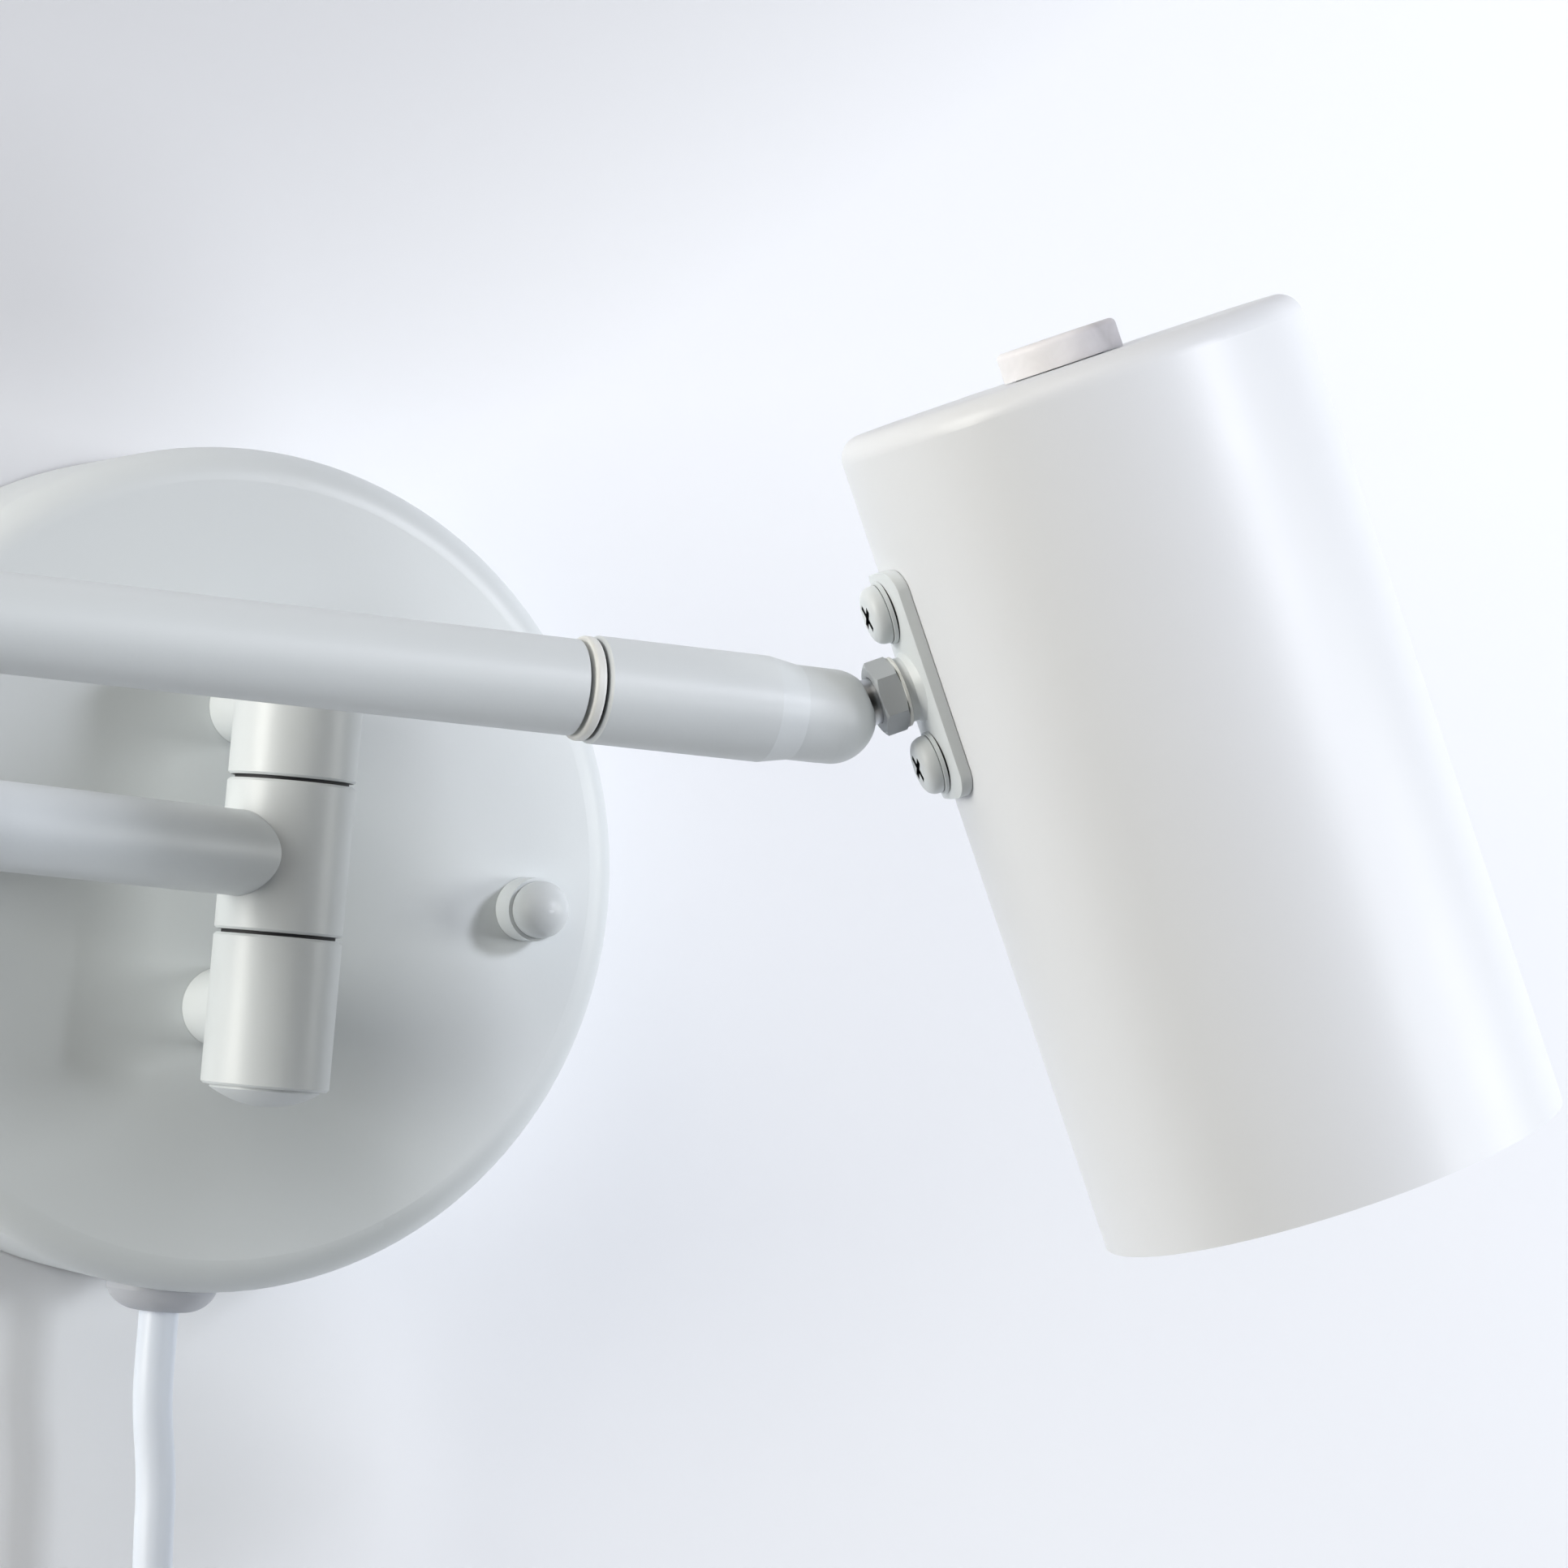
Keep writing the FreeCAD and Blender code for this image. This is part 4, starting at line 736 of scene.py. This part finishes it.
class WALLLAMP_OT_side_plate(LampOperator, bpy.types.Operator):
    """Bends the side plate to the shade, with rounded corners and rim and a flared boss"""
    bl_idname = "walllamp.side_plate"
    bl_label = "Side plate"

    # the plate is modelled with X across it, Y along it and Z from the ball into the shade
    def around_shade(self, name, radius, group, centre):
        tube = bar(name, radius, -group.long, group.long, 256)
        tube.rotation_euler.x = math.pi / 2
        tube.location.z = centre
        freeze(tube)
        return tube

    def execute(self, context):
        group = context.scene.wall_lamp_side_plate
        centre = (SHADE_TOP - BALL).dot(HEAD_X)
        seat = centre - group.shade_radius
        plate = bar("side_plate_strap", group.corner, group.face - 0.001, seat + 0.003, 48)
        edit(plate)
        for axis, half in ((0, group.width / 2), (1, group.long / 2)):
            for side in (1, -1):
                pick(plate, "verts", lambda v: v.co[axis] * side > 1e-6)
                step = [0.0, 0.0, 0.0]
                step[axis] = side * (half - group.corner)
                bpy.ops.transform.translate(value=step)
        done_editing()
        cut_away(plate, self.around_shade("outer_round", centre - group.face, group, centre), keep="inside")
        cut_away(plate, self.around_shade("inner_round", group.shade_radius + 0.00005, group, centre))
        apply_modifier(plate, "BEVEL", width=group.rim, segments=3, limit_method="ANGLE",
                       angle_limit=math.radians(50))
        boss = bar("boss", group.boss_radius, group.boss_face, group.face + 0.0004, 64)
        edit(boss)
        pick(boss, "edges", lambda e: level(e, group.boss_face))
        bpy.ops.mesh.bevel(offset=0.0002, segments=2, profile=0.5)
        done_editing()
        nothing_selected()
        flare_low, flare_high = group.boss_face + 0.0009, group.face + 0.0004
        bpy.ops.mesh.primitive_cone_add(
            vertices=64, radius1=group.boss_radius - 0.0001, radius2=group.boss_foot, depth=flare_high - flare_low,
            location=(0, 0, (flare_low + flare_high) / 2))
        flare = newest("boss_flare")
        freeze(flare)
        for piece in (plate, boss, flare):
            cut_away(piece, bar("stud_hole", group.stud_hole, 0, centre, 48))
        plate = joined("side_plate_strap", plate, boss, flare)
        settle(plate, Matrix.Translation(BALL) @ axes(HEAD_Y, HEAD_Z, HEAD_X), 30)
        dress(plate, "shade_head", finishes()["satin_powder_coat"])
        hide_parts("shade_side_plate")
        return {"FINISHED"}


class WALLLAMP_OT_canopy_threads(LampOperator, bpy.types.Operator):
    """Cuts the threads of the crossbar studs and of the hollow nipples that hold the stems"""
    bl_idname = "walllamp.canopy_threads"
    bl_label = "Canopy threads"

    def stand_out(self, thing, x, z, node):
        settle(thing, Matrix.Translation((x, 0, z)) @ Matrix.Rotation(math.pi / 2, 4, "X"), 30)
        dress(thing, "wall_base", finishes()["bright_zinc_plate"])
        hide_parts(node)

    def execute(self, context):
        group = context.scene.wall_lamp_threads
        low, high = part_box("crossbar_studs")
        for side, x in (("left", low[0] + group.stud_radius), ("right", high[0] - group.stud_radius)):
            rod = threaded_rod("crossbar_stud_" + side, group.stud_radius, group.stud_pitch, 0, group.stud_tip)
            self.stand_out(rod, x, 0, "crossbar_studs")
        low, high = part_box("stem_nipples")
        for side, z in (("lower", low[2] + group.nipple_radius), ("upper", high[2] - group.nipple_radius)):
            rod = threaded_rod("stem_nipple_" + side, group.nipple_radius, group.nipple_pitch, -high[1], -low[1],
                               group.nipple_bore)
            self.stand_out(rod, 0, z, "stem_nipples")
        return {"FINISHED"}


class WALLLAMP_OT_lamp_holder_shell(LampOperator, bpy.types.Operator):
    """Rolls the lamp holder's brass shell with its screw thread"""
    bl_idname = "walllamp.lamp_holder_shell"
    bl_label = "Lamp holder shell"

    def execute(self, context):
        group = context.scene.wall_lamp_threads
        low, high = -group.shell_rim, -group.shell_back
        shell = thread("lamp_thread_shell", group.shell_radius - group.shell_wave, group.shell_radius,
                       group.shell_pitch, low - group.shell_pitch, high + 2 * group.shell_pitch, 72, rolled=True)
        trim(shell, low, high)
        outward(shell)
        apply_modifier(shell, "SOLIDIFY", thickness=group.shell_sheet, offset=-1)
        settle(shell, Matrix.Translation(SHADE_TOP) @ axes(HEAD_X, HEAD_Y, HEAD_Z), 50)
        dress(shell, "shade_head", finishes()["drawn_brass"])
        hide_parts("lamp_holder_shell")
        return {"FINISHED"}


class WALLLAMP_OT_solid_finishes(LampOperator, bpy.types.Operator):
    """Gives every solid piece its real finish"""
    bl_idname = "walllamp.solid_finishes"
    bl_label = "Finishes"

    def execute(self, context):
        made = finishes()
        for part in frame["record"]["subparts"]:
            node = CAD[part["node"]]
            material = made[FINISH_OF_NODE.get(part["node"], FINISH_OF_SLOT[part["material_slot"]])]
            for slot in node.material_slots:
                slot.material = material
        return {"FINISHED"}


class WALLLAMP_OT_studio(LampOperator, bpy.types.Operator):
    """Sets the wall, the floor and the soft lights round the lamp"""
    bl_idname = "walllamp.studio"
    bl_label = "Studio"

    def lamp(self, name, watts, place, size, tint):
        data = bpy.data.lights.new(name, "AREA")
        data.energy = watts
        data.shape = "RECTANGLE"
        data.size = data.size_y = size
        data.color = linear(tint)[:3]
        light = bpy.data.objects.new(name, data)
        bpy.context.scene.collection.objects.link(light)
        aim = Vector((0.0, -0.1, 0.0)) - Vector(place)           # at the arms, just in front of the wall
        light.matrix_world = Matrix.Translation(Vector(place)) @ aim.to_track_quat("-Z", "Y").to_matrix().to_4x4()
        light.visible_camera = False

    def execute(self, context):
        group = context.scene.wall_lamp_studio
        size, key_size = group.light_size, group.key_size
        nothing_selected()
        bpy.ops.mesh.primitive_plane_add(size=group.room_size, location=(0, group.wall_gap, 0),
                                         rotation=(math.pi / 2, 0, 0))
        wall = newest("studio_wall")
        wall.data.materials.append(painted_wall("matt_wall_paint", group.wall, group.wall_glow, painted_shade_corner=True))
        nothing_selected()
        bpy.ops.mesh.primitive_plane_add(size=group.room_size, location=(0, -group.room_size / 2, -group.floor_drop))
        floor = newest("studio_floor")
        floor.data.materials.append(painted_wall("pale_floor", group.floor))
        self.lamp("window_light", group.window, (-1.3, -0.16, 0.1), size, "#FFFDF6")
        self.lamp("skylight", group.skylight, (-0.8, -0.6, 0.9), size, "#FFF7ED")
        self.lamp("key_light", group.key, (0.62, -1.0, 0.45), key_size, "#F4F6FF")
        self.lamp("low_key_light", group.low_key, (0.62, -1.0, 0.0), key_size, "#F7FBFF")
        self.lamp("side_light", group.side, (1.05, -0.7, 0.15), group.side_size, "#FEFFFC")
        self.lamp("bounce_light", group.bounce, (0.15, -0.8, -0.9), size, "#FFF7E7")
        context.scene.view_settings.view_transform = "Standard"
        world = bpy.data.worlds.new("studio_world")
        world.use_nodes = True
        tree = world.node_tree
        tree.nodes.clear()
        sky = add(tree, "ShaderNodeBackground", {"Color": linear("#EEF2FC"), "Strength": group.ambient})
        add(tree, "ShaderNodeOutputWorld", {"Surface": sky.outputs[0]})
        context.scene.world = world
        return {"FINISHED"}


class WALLLAMP_PT_panel(bpy.types.Panel):
    """Lists the lamp's steps in the sidebar"""
    bl_idname = "WALLLAMP_PT_panel"
    bl_label = "Wall lamp"
    bl_space_type = "VIEW_3D"
    bl_region_type = "UI"
    bl_category = "Wall lamp"

    def draw(self, context):
        for step in STEPS:
            self.layout.operator("walllamp." + step)
        for group in GROUPS:
            self.layout.label(text=group.__doc__)
            for name in group.__annotations__:
                self.layout.prop(getattr(context.scene, GROUPS[group]), name)


GROUPS = {
    WallLampFinishes: "wall_lamp_finishes",
    WallLampCord: "wall_lamp_cord",
    WallLampScrews: "wall_lamp_screws",
    WallLampSidePlate: "wall_lamp_side_plate",
    WallLampThreads: "wall_lamp_threads",
    WallLampStudio: "wall_lamp_studio",
}
OPERATORS = (WALLLAMP_OT_camera, WALLLAMP_OT_cord, WALLLAMP_OT_side_plate_screws, WALLLAMP_OT_side_plate,
             WALLLAMP_OT_canopy_threads, WALLLAMP_OT_lamp_holder_shell, WALLLAMP_OT_solid_finishes,
             WALLLAMP_OT_studio)
STEPS = [operator.bl_idname.split(".")[1] for operator in OPERATORS]


def register():
    for cls in (*GROUPS, *OPERATORS, WALLLAMP_PT_panel):
        bpy.utils.register_class(cls)
    for group, name in GROUPS.items():
        setattr(bpy.types.Scene, name, PointerProperty(type=group))


def unregister():
    for name in GROUPS.values():
        delattr(bpy.types.Scene, name)
    for cls in reversed((*GROUPS, *OPERATORS, WALLLAMP_PT_panel)):
        bpy.utils.unregister_class(cls)


def main():
    register()
    for step in STEPS:
        getattr(bpy.ops.walllamp, step)()
    nothing_selected()
    bpy.context.view_layer.update()


if __name__ == "__main__":
    main()
